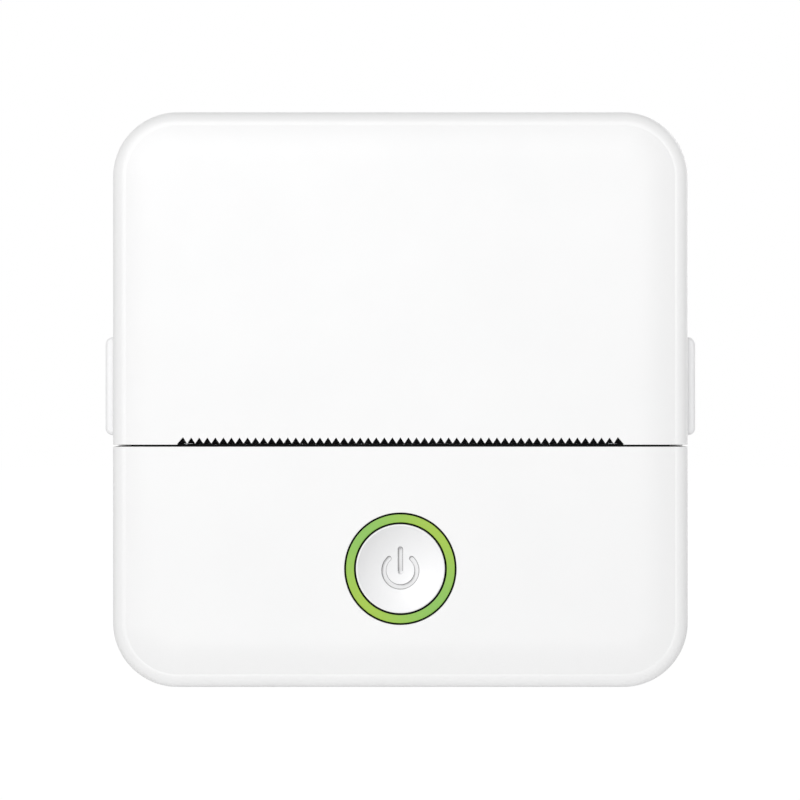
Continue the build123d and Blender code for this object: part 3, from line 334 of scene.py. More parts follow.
def drawn_line(name, points):
    """A run of joined points, drawn one after the other, left open in edit mode."""
    clear_selection()
    bpy.ops.mesh.primitive_plane_add(size=1, location=points[0])
    piece = bpy.context.object
    piece.name = name
    settle(piece)
    edit(piece)
    bpy.ops.mesh.select_mode(type="VERT")
    pick_all()
    bpy.ops.mesh.merge(type="CENTER")
    for before, after in zip(points, points[1:]):
        pull(*(Vector(after) - Vector(before)))
    return piece


def prism(name, facing, outline, start, end):
    """A closed outline of flat points, drawn out along one direction."""
    points = []
    for flat in outline:
        point = list(flat)
        point.insert("xyz".index(facing), start)
        points.append(point)
    piece = drawn_line(name, points)
    pick_all()
    bpy.ops.mesh.edge_face_add()
    pull(*along(facing, end - start))
    return close_up(piece)


def turned(name, facing, centre, profile, steps=96):
    """A profile of (radius, place along the axis) points, spun about an axis."""
    axis = "xyz".index(facing)
    across = (axis + 1) % 3
    points = []
    for radius, along_axis in profile:
        point = Vector(centre)
        point[axis] = along_axis
        point[across] = centre[across] + radius
        points.append(point)
    piece = drawn_line(name, points)
    pick_all()
    bpy.ops.mesh.spin(steps=steps, angle=math.tau, center=centre, axis=along(facing, 1.0))
    return close_up(piece)


def carve(piece, tool, how="DIFFERENCE"):
    """Cuts a tool out of a piece, or joins it to it, and removes the tool."""
    change = piece.modifiers.new("carve", "BOOLEAN")
    change.operation = how
    change.solver = "EXACT"
    change.object = tool
    wake(piece)
    bpy.ops.object.modifier_apply(modifier=change.name)
    bpy.data.objects.remove(tool)
    return piece


def twin(piece, name):
    """A copy with its own mesh."""
    copy = piece.copy()
    copy.data = piece.data.copy()
    copy.name = name
    bpy.context.scene.collection.objects.link(copy)
    return copy


def round_over(radius, steps):
    """Draws the selected faces inwards and outwards along a quarter circle."""
    inward = 0.0
    outward = 0.0
    for step in range(1, steps + 1):
        angle = math.pi / 2 * step / steps
        reach = radius * (1 - math.cos(angle))
        rise = radius * math.sin(angle)
        bpy.ops.mesh.inset(thickness=reach - inward, depth=rise - outward)
        inward = reach
        outward = rise


def round_edges(piece, width):
    """Rounds every sharp edge a little."""
    change = piece.modifiers.new("rounding", "BEVEL")
    change.width = width
    change.segments = 2
    change.limit_method = "ANGLE"
    change.angle_limit = math.radians(40.0)
    change.use_clamp_overlap = True
    change.harden_normals = False
    wake(piece)
    bpy.ops.object.modifier_apply(modifier=change.name)


def round_picked(width, segments=2):
    """Rounds the selected edges."""
    bpy.ops.mesh.bevel(offset=width, segments=segments, affect="EDGES", clamp_overlap=True)


def soften(piece, on_rim, width, segments=2):
    """Rounds the edges that lie on a rim."""
    edit(piece)
    pick_edges(piece, on_rim)
    round_picked(width, segments)
    bpy.ops.object.mode_set(mode="OBJECT")


def smooth(piece, angle=32.0):
    """Smooth shading on round stretches, with flat faces kept flat."""
    wake(piece)
    bpy.ops.object.shade_smooth_by_angle(angle=math.radians(angle))
    change = piece.modifiers.new("even_shading", "WEIGHTED_NORMAL")
    change.mode = "FACE_AREA"
    change.weight = 60
    change.keep_sharp = True
    bpy.ops.object.modifier_apply(modifier=change.name)
    return piece


record_slots = {row["node"]: row["material_slot"] for row in frame["record"]["subparts"]}
record_bodies = {
    node: body for body, nodes in frame["record"]["behaviour"]["bodies"].items() for node in nodes
}


def finish_piece(piece, node):
    """Brings a piece to metres, gives it its finish and puts it in the place of its node."""
    piece.scale = (MM, MM, MM)
    settle(piece)
    piece.data.materials.clear()
    piece.data.materials.append(finishes[record_slots[node]].material)
    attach(piece, record_bodies[node])
    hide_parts(node)
    return piece


# Shader groups shared by the finishes


def add_node(tree, kind, sockets, **options):
    """A shader node with its options, and in each socket a value or another node's output."""
    node = tree.nodes.new("ShaderNode" + kind)
    for label, value in options.items():
        setattr(node, label, value)
    for label, value in sockets.items():
        if isinstance(value, bpy.types.NodeSocket):
            tree.links.new(value, node.inputs[label])
        else:
            node.inputs[label].default_value = value
    return node


def shader_group(name, inputs, outputs):
    """An empty node group, with the labels and kinds of its sockets."""
    tree = bpy.data.node_groups.new(name, "ShaderNodeTree")
    for side, sockets in (("INPUT", inputs), ("OUTPUT", outputs)):
        for label, kind in sockets.items():
            tree.interface.new_socket(name=label, in_out=side, socket_type="NodeSocket" + kind)
    given = tree.nodes.new("NodeGroupInput").outputs
    result = tree.nodes.new("NodeGroupOutput").inputs
    return tree, given, result


def calculate(tree, operation, first, second):
    """A Math node. A number or an output goes into each side."""
    return add_node(tree, "Math", {0: first, 1: second}, operation=operation).outputs[0]


def noise(tree, place, scale, detail, roughness):
    """Soft noise at a place, from zero to one."""
    sockets = {"Vector": place, "Scale": scale, "Detail": detail, "Roughness": roughness}
    return add_node(tree, "TexNoise", sockets).outputs["Fac"]


def make_fine_grain():
    """Moulded or ground grain: a height, and a roughness that wanders a little."""
    values = ("Grain Scale", "Patch Scale", "Roughness", "Spread")
    tree, given, result = shader_group(
        "fine_grain",
        {"Place": "Vector", **dict.fromkeys(values, "Float")},
        {"Height": "Float", "Roughness": "Float"},
    )
    grain = noise(tree, given["Place"], given["Grain Scale"], 2.0, 0.55)
    patch = noise(tree, given["Place"], given["Patch Scale"], 4.0, 0.6)
    centred = calculate(tree, "SUBTRACT", patch, 0.5)
    fine = calculate(tree, "SUBTRACT", grain, 0.5)
    both = calculate(tree, "ADD", centred, calculate(tree, "MULTIPLY", fine, 0.5))
    spread = calculate(tree, "MULTIPLY", both, given["Spread"])
    tree.links.new(grain, result["Height"])
    tree.links.new(calculate(tree, "ADD", spread, given["Roughness"]), result["Roughness"])
    return tree


def make_tone_drift():
    """Two tones of one colour in soft clouds."""
    tree, given, result = shader_group(
        "tone_drift",
        {"Place": "Vector", "Scale": "Float", "Light": "Color", "Deep": "Color"},
        {"Colour": "Color"},
    )
    cloud = noise(tree, given["Place"], given["Scale"], 4.0, 0.55)
    ramp = add_node(tree, "MapRange", {"Value": cloud, "From Min": 0.3, "From Max": 0.7})
    sockets = {"Factor": ramp.outputs["Result"], "A": given["Light"], "B": given["Deep"]}
    mix = add_node(tree, "Mix", sockets, data_type="RGBA")
    tree.links.new(mix.outputs["Result"], result["Colour"])
    return tree


fine_grain = make_fine_grain()
tone_drift = make_tone_drift()


def colour(value):
    """Three parts of a colour, with full cover."""
    return (*value, 1.0)


class Finish:
    """One material: two close tones and one grain, which a stretch draws out along the piece."""

    def __init__(
        self,
        name,
        tones,
        grain,
        stretch=None,
        patch=90.0,
        metallic=0.0,
        coat=0.0,
        coat_roughness=0.05,
        ior=1.5,
    ):
        self.material = bpy.data.materials.new(name)
        self.material.use_nodes = True
        self.tree = self.material.node_tree
        self.sockets = self.tree.nodes["Principled BSDF"].inputs
        self.sockets["Metallic"].default_value = metallic
        self.sockets["Coat Weight"].default_value = coat
        self.sockets["Coat Roughness"].default_value = coat_roughness
        self.sockets["IOR"].default_value = ior
        self.place = self.add("TexCoord", {}).outputs["Object"]
        self.tones(*tones)
        self.grain(*grain, self.stretched(stretch) if stretch else self.place, patch)

    def add(self, kind, sockets, **options):
        """A node of this finish."""
        return add_node(self.tree, kind, sockets, **options)

    def work(self, operation, first, second=0.0):
        """A Math node of this finish."""
        return calculate(self.tree, operation, first, second)

    def feed(self, output, label):
        """Links an output to a socket of the shader."""
        self.tree.links.new(output, self.sockets[label])

    def stretched(self, scale=(1.0, 1.0, 1.0), turn=(0.0, 0.0, 0.0), move=(0.0, 0.0, 0.0)):
        """The place, with the pattern stretched, turned or moved."""
        sockets = {"Vector": self.place, "Scale": scale, "Rotation": turn, "Location": move}
        return self.add("Mapping", sockets).outputs["Vector"]

    def tones(self, light, deep, scale):
        """Colour in two close tones, in clouds of a scale."""
        sockets = {"Place": self.place, "Scale": scale, "Light": colour(light), "Deep": colour(deep)}
        self.feed(self.add("Group", sockets, node_tree=tone_drift).outputs["Colour"], "Base Color")

    def grain(self, size, depth, roughness, spread, place, patch):
        """Grain of a size in millimetres and a depth in thousandths of one."""
        sockets = {
            "Place": place,
            "Grain Scale": TO_MM / size,
            "Patch Scale": patch,
            "Roughness": roughness,
            "Spread": spread,
        }
        group = self.add("Group", sockets, node_tree=fine_grain)
        self.feed(group.outputs["Roughness"], "Roughness")
        self.raise_by(group.outputs["Height"], depth * MM * MM)

    def raise_by(self, height, metres):
        """A bump on top of the ones before it."""
        sockets = {"Height": height, "Strength": 1.0, "Distance": metres}
        before = self.sockets["Normal"].links
        if before:
            sockets["Normal"] = before[0].from_socket
        self.feed(self.add("Bump", sockets).outputs["Normal"], "Normal")

    def change(self, label, kind, mask, value):
        """Another value on a socket of the shader, where a mask is one."""
        before = self.sockets[label].links[0].from_socket
        mix = self.add("Mix", {"Factor": mask, "A": before, "B": value}, data_type=kind)
        self.feed(mix.outputs["Result"], label)

    def paint(self, mask, value):
        """Another colour where a mask is one."""
        self.change("Base Color", "RGBA", mask, colour(value))

    def dull(self, mask, value):
        """Another roughness where a mask is one."""
        self.change("Roughness", "FLOAT", mask, value)

    def part_of(self, place, axis):
        """One coordinate of a place."""
        return self.add("SeparateXYZ", {"Vector": place}).outputs["xyz".index(axis)]

    def about_button(self):
        """Places across and up from the power button's middle, and the distance from it."""
        centred = self.stretched(move=(0.0, 0.0, -button_z * MM))
        across = self.part_of(centred, "x")
        up = self.part_of(centred, "z")
        squares = self.work("ADD", self.work("MULTIPLY", across, across), self.work("MULTIPLY", up, up))
        return across, up, self.work("SQRT", squares)

    def between(self, value, low, high):
        """A mask that is one where a value lies between two others."""
        above = self.work("GREATER_THAN", value, low)
        return self.work("MULTIPLY", above, self.work("LESS_THAN", value, high))

    def stripes(self, per_metre, gap):
        """A mask of even stripes side by side, with a share of each left as a gap."""
        comb = self.work("FRACT", self.work("MULTIPLY", self.part_of(self.place, "x"), per_metre))
        return self.work("GREATER_THAN", comb, gap)


# Finishes


def button_white():
    """White of the power button, with painted shade: near-black on its flange behind the ring's edge, which
    darkens that gap, and grey on the cut walls of its symbol.
    """
    tones = ((0.92, 0.92, 0.925), (0.905, 0.905, 0.912), 120.0)
    finish = Finish("button_white", tones, (0.12, 1.0, 0.34, 0.06))
    radius = finish.about_button()[2]
    # Painted shade: the flange behind the ring is painted near-black and made matt, so the gap between cap
    # and ring reads dark.
    flange = finish.between(radius, (cap_radius + 0.03) * MM, (cap_flange_radius + 0.1) * MM)
    finish.paint(flange, (0.02, 0.02, 0.02))
    finish.dull(flange, 0.9)
    # Painted shade: the engraving's steep walls are painted grey, which darkens the sides of the groove.
    cut = finish.add("Attribute", {}, attribute_name="engraving_wall_shade")
    finish.paint(cut.outputs["Fac"], (0.42, 0.42, 0.42))
    return finish


def ring_green():
    """Frosted green of the light guide, bluer towards two of its quarters, with painted shade: near-black
    on its side walls, which darkens the gaps beside it.
    """
    tones = ((0.362, 0.572, 0.035), (0.346, 0.558, 0.039), 95.0)
    finish = Finish("ring_green", tones, (0.1, 0.8, 0.42, 0.08))
    across, up, radius = finish.about_button()
    crossed = finish.work("MULTIPLY", across, up)
    squared = finish.work("MULTIPLY", radius, radius)
    turn = finish.work("DIVIDE", crossed, squared)
    finish.paint(finish.work("SUBTRACT", 0.5, turn), (0.24, 0.526, 0.072))
    # Painted shade: the inner and outer side walls are painted near-black and made matt, so the gaps around
    # the ring read dark.
    beyond = finish.work("GREATER_THAN", radius, (ring_outer - 0.03) * MM)
    within = finish.work("LESS_THAN", radius, (ring_inner + 0.03) * MM)
    sides = finish.work("MAXIMUM", beyond, within)
    finish.paint(sides, (0.004, 0.008, 0.004))
    finish.dull(sides, 1.0)
    return finish


def milky_nylon():
    """Milky nylon of the gears."""
    finish = Finish("milky_nylon", ((0.80, 0.79, 0.74), (0.74, 0.72, 0.66), 180.0), (0.15, 1.2, 0.38, 0.1))
    finish.sockets["Subsurface Weight"].default_value = 0.12
    finish.sockets["Subsurface Scale"].default_value = 0.0006
    return finish


def glazed_strip():
    """Dark glazed ceramic of the print head, with its heating line and contact fans."""
    tones = ((0.20, 0.13, 0.085), (0.15, 0.095, 0.06), 150.0)
    finish = Finish("glazed_strip", tones, (0.3, 0.3, 0.16, 0.06), coat=0.6, coat_roughness=0.06)
    back = finish.part_of(finish.place, "y")
    fans = finish.between(back, -0.0072, -0.0046)
    finish.paint(finish.work("MULTIPLY", finish.stripes(4000.0, 0.5), fans), (0.62, 0.48, 0.26))
    finish.paint(finish.between(back, -0.0084, -0.0078), (0.05, 0.04, 0.035))
    return finish


def board_green():
    """Green solder mask over traces, with small tinned holes."""
    tones = ((0.018, 0.15, 0.075), (0.012, 0.11, 0.055), 120.0)
    finish = Finish("board_green", tones, (0.25, 0.6, 0.3, 0.08), coat=0.4, coat_roughness=0.12)
    sockets = {
        "Vector": finish.stretched(turn=(math.pi / 2, 0.0, 0.0)),
        "Scale": 1.0,
        "Brick Width": 0.0064,
        "Row Height": 0.0009,
        "Mortar Size": 0.00016,
        "Mortar Smooth": 0.2,
    }
    traces = finish.add("TexBrick", sockets).outputs["Fac"]
    finish.paint(traces, (0.03, 0.22, 0.11))
    finish.raise_by(traces, 0.00002)
    dots = finish.add("TexVoronoi", {"Vector": finish.place, "Scale": 330.0})
    finish.paint(finish.work("LESS_THAN", dots.outputs["Distance"], 0.11), (0.55, 0.54, 0.5))
    return finish


def lead_sleeve():
    """Silicone sleeves of the battery's leads, one red and one black."""
    tones = ((0.50, 0.02, 0.02), (0.42, 0.015, 0.015), 300.0)
    finish = Finish("lead_sleeve", tones, (0.1, 0.6, 0.36, 0.08))
    side = finish.part_of(finish.place, "x")
    finish.paint(finish.work("LESS_THAN", side, -0.015), (0.015, 0.015, 0.016))
    return finish


def amber_film():
    """Amber film of the head's flat cable, with copper tracks."""
    tones = ((0.52, 0.25, 0.045), (0.44, 0.20, 0.035), 150.0)
    finish = Finish("amber_film", tones, (0.4, 1.0, 0.26, 0.08), coat=0.4, coat_roughness=0.1)
    finish.paint(finish.stripes(1250.0, 0.55), (0.62, 0.36, 0.12))
    return finish


def tinned_shield():
    """Tinned can over the radio, and the shell of the port."""
    return Finish(
        "tinned_shield",
        ((0.70, 0.70, 0.71), (0.62, 0.62, 0.64), 260.0),
        (1.0, 0.5, 0.28, 0.16),
        stretch=(1.0, 30.0, 30.0),
        metallic=1.0,
    )


# Tones: light, deep and the scale of their clouds. Grain: size, depth, roughness and its spread
finishes = {
    # Satin plastic of the case
    "shell_white": Finish(
        "moulded_white",
        ((0.93, 0.93, 0.93), (0.915, 0.915, 0.916), 45.0),
        (0.16, 1.2, 0.32, 0.05),
    ),
    "button_white": button_white(),
    "ring_green": ring_green(),
    # Matt plastic of the cover's frame and the paper bay
    "frame_black": Finish(
        "moulded_black",
        ((0.008, 0.008, 0.009), (0.005, 0.005, 0.006), 80.0),
        (0.2, 3.0, 0.7, 0.12),
        ior=1.24,
    ),
    # Zinc-plated sheet with a rolled grain
    "plate_steel": Finish(
        "rolled_steel",
        ((0.66, 0.67, 0.69), (0.56, 0.57, 0.59), 110.0),
        (0.6, 0.5, 0.34, 0.22),
        stretch=(60.0, 1.0, 12.0),
        metallic=1.0,
    ),
    # Bright ground bars
    "rod_steel": Finish(
        "ground_steel",
        ((0.74, 0.74, 0.76), (0.66, 0.66, 0.68), 140.0),
        (0.5, 0.4, 0.22, 0.14),
        stretch=(9.0, 1.0, 1.0),
        metallic=1.0,
    ),
    # Dark plated screws
    "screw_steel": Finish(
        "plated_steel",
        ((0.46, 0.46, 0.48), (0.36, 0.36, 0.39), 400.0),
        (0.08, 0.6, 0.32, 0.16),
        metallic=1.0,
    ),
    # Wire of the springs
    "spring_steel": Finish(
        "drawn_wire",
        ((0.63, 0.63, 0.65), (0.5, 0.5, 0.53), 500.0),
        (0.05, 0.3, 0.28, 0.12),
        metallic=1.0,
    ),
    # Roller, with fine rings from the grinding wheel
    "roller_rubber": Finish(
        "ground_rubber",
        ((0.032, 0.032, 0.034), (0.022, 0.022, 0.024), 260.0),
        (0.5, 3.0, 0.66, 0.12),
        stretch=(14.0, 1.0, 1.0),
    ),
    "gear_nylon": milky_nylon(),
    # Bearings of the roller
    "bearing_acetal": Finish(
        "dark_acetal",
        ((0.075, 0.075, 0.08), (0.055, 0.055, 0.06), 200.0),
        (0.12, 0.8, 0.4, 0.1),
    ),
    # Turned pinion
    "pinion_brass": Finish(
        "turned_brass",
        ((0.80, 0.60, 0.28), (0.70, 0.50, 0.20), 300.0),
        (0.4, 0.5, 0.26, 0.14),
        stretch=(20.0, 1.0, 1.0),
        metallic=1.0,
    ),
    # Satin galvanised can
    "motor_can": Finish(
        "motor_can",
        ((0.5, 0.51, 0.53), (0.4, 0.41, 0.43), 160.0),
        (0.14, 1.2, 0.42, 0.16),
        metallic=0.85,
    ),
    # Extruded bar of the print head, with lines along its length
    "sink_aluminium": Finish(
        "sawn_aluminium",
        ((0.78, 0.79, 0.80), (0.70, 0.71, 0.72), 90.0),
        (2.0, 0.6, 0.36, 0.18),
        stretch=(1.0, 40.0, 40.0),
        metallic=1.0,
    ),
    "strip_ceramic": glazed_strip(),
    "board_green": board_green(),
    # Moulded packages
    "chip_black": Finish(
        "chip_black",
        ((0.028, 0.028, 0.031), (0.02, 0.02, 0.023), 300.0),
        (0.07, 2.0, 0.5, 0.1),
    ),
    # Plastic of the sockets
    "socket_cream": Finish(
        "socket_cream",
        ((0.76, 0.72, 0.61), (0.70, 0.65, 0.54), 250.0),
        (0.12, 1.0, 0.42, 0.1),
    ),
    "shield_tin": tinned_shield(),
    # Pale resin of the ring's lamps
    "lamp_resin": Finish(
        "lamp_resin",
        ((0.86, 0.88, 0.78), (0.80, 0.84, 0.62), 700.0),
        (0.1, 0.6, 0.2, 0.06),
        coat=0.5,
        coat_roughness=0.05,
    ),
    "port_steel": tinned_shield(),
    # Blue shrink film of the battery, wrinkled at its ends
    "cell_wrap": Finish(
        "cell_wrap",
        ((0.035, 0.13, 0.34), (0.025, 0.10, 0.27), 70.0),
        (3.5, 60.0, 0.24, 0.12),
        stretch=(1.0, 1.0, 5.0),
        patch=260.0,
        coat=0.35,
        coat_roughness=0.1,
    ),
    # Closed foam of the battery's pad
    "pad_foam": Finish(
        "pad_foam",
        ((0.06, 0.06, 0.065), (0.035, 0.035, 0.04), 900.0),
        (0.3, 40.0, 0.9, 0.08),
    ),
    "lead_red": lead_sleeve(),
    "flex_amber": amber_film(),
}


# Case: the front half is one crowned block, cut in two at the mouth


def front_block(name):
    """The crowned front half, with its rounded edge and a flat lip where the crown meets it."""
    low = (-half_width, cover_back_y, 0.0)
    high = (half_width, cover_back_y, case_top)
    piece = plate(name, "y", low, high, corner_radius, corner_steps)
    edit(piece)
    pick_all()
    pull(y=front_y + crown_drop + edge_radius - cover_back_y)
    round_over(edge_radius, edge_steps)
    for share in (0.25, 0.5, 0.25):
        bpy.ops.mesh.inset(thickness=lip_width * share, depth=0.0)
    crown_width = crown_reach - edge_radius - lip_width
    risen = 0.0
    for step in range(1, crown_steps + 1):
        share = step / crown_steps
        rise = crown_drop * (1 - (1 - share) ** 2)
        bpy.ops.mesh.inset(thickness=crown_width / crown_steps, depth=rise - risen)
        risen = rise
    return close_up(piece)


def cut_at(piece, height, keep_upper):
    """Cuts a closed piece level, keeps one half and rounds the new edge."""
    edit(piece)
    pick_all()
    bpy.ops.mesh.bisect(
        plane_co=(0.0, 0.0, height),
        plane_no=(0.0, 0.0, 1.0),
        use_fill=True,
        clear_inner=keep_upper,
        clear_outer=not keep_upper,
        threshold=0.0001,
    )
    pick_edges(piece, lambda point: abs(point.z - height) < near)
    round_picked(seam_round)
    return close_up(piece)


def hollow_post(name, x, z, start_y, end_y, radius, bore, depth):
    """A round post along the depth, with a screw's hole in its end."""
    piece = rod(name, "y", (x, start_y, z), end_y - start_y, radius, sides=40)
    facing = 1.0 if end_y > start_y else -1.0
    edit(piece)
    pick_ends(piece, facing)
    bpy.ops.mesh.inset(thickness=radius - bore)
    pull(y=-facing * depth)
    return close_up(piece)


def case_outline(name, start_y, end_y, inset=0.0):
    """The case's outline, drawn in by inset, from one depth to another."""
    low = (-half_width + inset, start_y, inset)
    high = (half_width - inset, end_y, case_top - inset)
    return slab(name, "y", low, high, corner_radius - inset, steps=20)


def notch(name, left, right, tip_x, height):
    """One pointed notch, which starts inside the mouth's level band."""
    foot_z = tooth_foot_z - notch_root
    outline = [(left, foot_z), (right, foot_z), (tip_x, tooth_foot_z + height)]
    return prism(name, "y", outline, mouth_back_y, outside_y)


def cut_teeth(piece):
    """Cuts the edge that tears the paper: a level band, a row of notches and a larger one at each end."""
    low = (-mouth_half, outside_y, cover_low_z - 1)
    high = (mouth_half, mouth_back_y, tooth_foot_z)
    carve(piece, slab("mouth_band", "y", low, high))
    widened = tooth_half * (tooth_height + notch_root) / tooth_height
    first_x = -(tooth_count - 1) / 2 * tooth_pitch
    row = notch("tooth_notches", first_x - widened, first_x + widened, first_x, tooth_height)
    repeat = row.modifiers.new("row", "ARRAY")
    repeat.count = tooth_count
    repeat.use_relative_offset = False
    repeat.use_constant_offset = True
    repeat.constant_offset_displace = (tooth_pitch, 0.0, 0.0)
    wake(row)
    bpy.ops.object.modifier_apply(modifier=repeat.name)
    carve(piece, row)
    end_from = tooth_count / 2 * tooth_pitch + end_tooth_gap
    for side in (-1, 1):
        tip_x = side * (end_from + tooth_pitch / 2)
        carve(piece, notch("end_notch", side * end_from, side * mouth_half, tip_x, end_tooth_height))


def ear_start(side, gap=0.0):
    """Left end of a hinge ear, with a gap before it."""
    return (ear_inner if side > 0 else -ear_inner - ear_width) - gap


def on_side_wall(y, z, reach_y, reach_z):
    """A test for points of a side wall that lie within a reach of a place."""

    def test(point):
        return (
            abs(abs(point.x) - half_width) < near
            and abs(point.y - y) < reach_y + 0.01
            and abs(point.z - z) < reach_z + 0.01
        )

    return test


def paper_cover():
    """Upper front: hinge barrel with room for the ears, openings for the buttons, teeth, screw posts."""
    piece = twin(front, "cover_shell")
    cut_at(piece, cover_low_z, True)
    carve(piece, case_outline("cover_hollow", inner_front_y, cover_back_y + 1, wall))
    barrel_start = (-barrel_half, hinge_y, hinge_z)
    barrel = rod("barrel", "x", barrel_start, 2 * barrel_half, barrel_radius, sides=72)
    low = (-barrel_half, hinge_y - barrel_radius, hinge_z - 0.01)
    high = (barrel_half, hinge_y, hinge_z + barrel_radius - hair)
    carve(barrel, slab("shoulder", "x", low, high), "UNION")
    carve(barrel, case_outline("barrel_limit", hinge_y - 4, hinge_y + 4, inset=0.004), "INTERSECT")
    carve(piece, barrel, "UNION")
    ear_gap = 0.05
    for side in (-1, 1):
        start = (ear_start(side, ear_gap), hinge_y, hinge_z)
        carve(piece, rod("ear_relief", "x", start, ear_width + 2 * ear_gap, relief_radius, sides=72))
    rod_start = (-rod_half, hinge_y, hinge_z)
    carve(piece, rod("rod_bore", "x", rod_start, 2 * rod_half, rod_bore, sides=40))
    reach_y = tab_half_depth + tab_clearance
    reach_z = tab_half_height + tab_clearance
    low = (-half_width - 2, tab_mid_y - reach_y, tab_mid_z - reach_z)
    high = (half_width + 2, tab_mid_y + reach_y, tab_mid_z + reach_z)
    carve(piece, slab("tab_opening", "x", low, high, tab_corner + tab_clearance))
    soften(piece, on_side_wall(tab_mid_y, tab_mid_z, reach_y, reach_z), width=0.12)
    cut_teeth(piece)
    root_y = inner_front_y - post_root
    for side in (-1, 1):
        for z in cover_post_heights:
            x = side * cover_post_x
            end_y = inner_front_y + 5.0
            post = hollow_post("cover_boss", x, z, root_y, end_y, post_radius, screw_radius, depth=4.6)
            carve(piece, post, "UNION")
    return piece


def closing_hook(side):
    """One of the two hooks along the top of the lower front, which the mouth's black strip clips to."""
    low_x = 20.0
    high_x = 26.0
    middle_z = 29.25
    half = 0.85
    tip_half = 0.42
    root_y = inner_front_y - post_root
    return prism(
        "hook",
        "x",
        [
            (root_y, middle_z),
            (root_y, middle_z + half),
            (-11.2, middle_z + half),
            (-10.9, middle_z + tip_half),
            (-10.9, middle_z - tip_half),
            (-11.65, middle_z - half),
            (-11.65, middle_z),
        ],
        side * low_x,
        side * high_x,
    )


def front_panel():
    """Lower front: the ring's hole, the port's slot, posts for the board and the case screws, hooks."""
    piece = twin(front, "panel_shell")
    cut_at(piece, panel_high_z, False)
    carve(piece, case_outline("panel_hollow", inner_front_y, cover_back_y + 1, wall))
    carve(piece, rod("ring_hole", "y", (0.0, outside_y, button_z), wall + 2, ring_hole_radius, sides=128))

    def on_ring(point):
        radius = math.hypot(point.x, point.z - button_z)
        return abs(radius - ring_hole_radius) < 0.02 and abs(point.y - front_y) < 0.01

    soften(piece, on_ring, width=0.1)
    low = (inner_half - 0.5, port_y - slot_half_depth, port_z - slot_half_height)
    high = (half_width + 2, port_y + slot_half_depth, port_z + slot_half_height)
    carve(piece, slab("port_slot", "x", low, high, slot_corner, steps=10))
    soften(piece, on_side_wall(port_y, port_z, slot_half_depth, slot_half_height), width=0.25, segments=3)
    root_y = inner_front_y - post_root
    extras = [
        hollow_post("board_boss", x, z, root_y, inner_front_y + 5.4, radius=2.0, bore=0.8, depth=4.8)
        for x, z in board_posts
    ]
    for side in (-1, 1):
        x = side * corner_post_x
        radius = corner_post_radius
        post = hollow_post("corner_post", x, corner_post_z, root_y, 0.0, radius, bore=1.0, depth=6.5)
        extras += [post, closing_hook(side)]
    for extra in extras:
        carve(piece, extra, "UNION")
    clear_slivers(piece)
    return piece


def hinge_ear(side, relief_y):
    """One of the two ears that hold the hinge's rod, with the web that joins it to the shell."""
    start = ear_start(side)
    web_low_z = hinge_z - barrel_radius + hair
    web_high_z = case_top - wall + 0.4
    web_back_y = hinge_y + 6.5
    ear = rod("ear", "x", (start, hinge_y, hinge_z), ear_width, barrel_radius, sides=72)
    web = prism(
        "ear_web",
        "x",
        [
            (hinge_y, hinge_z),
            (hinge_y, web_low_z),
            (web_back_y, web_low_z),
            (web_back_y, web_high_z),
            (relief_y + 0.9, web_high_z),
            (relief_y + 0.3, hinge_z),
        ],
        start + 0.002,
        start + ear_width - 0.002,
    )
    carve(ear, web, "UNION")
    bore_start = (start - 1, hinge_y, hinge_z)
    carve(ear, rod("ear_bore", "x", bore_start, ear_width + 2, rod_bore - 0.05, sides=40))
    return ear


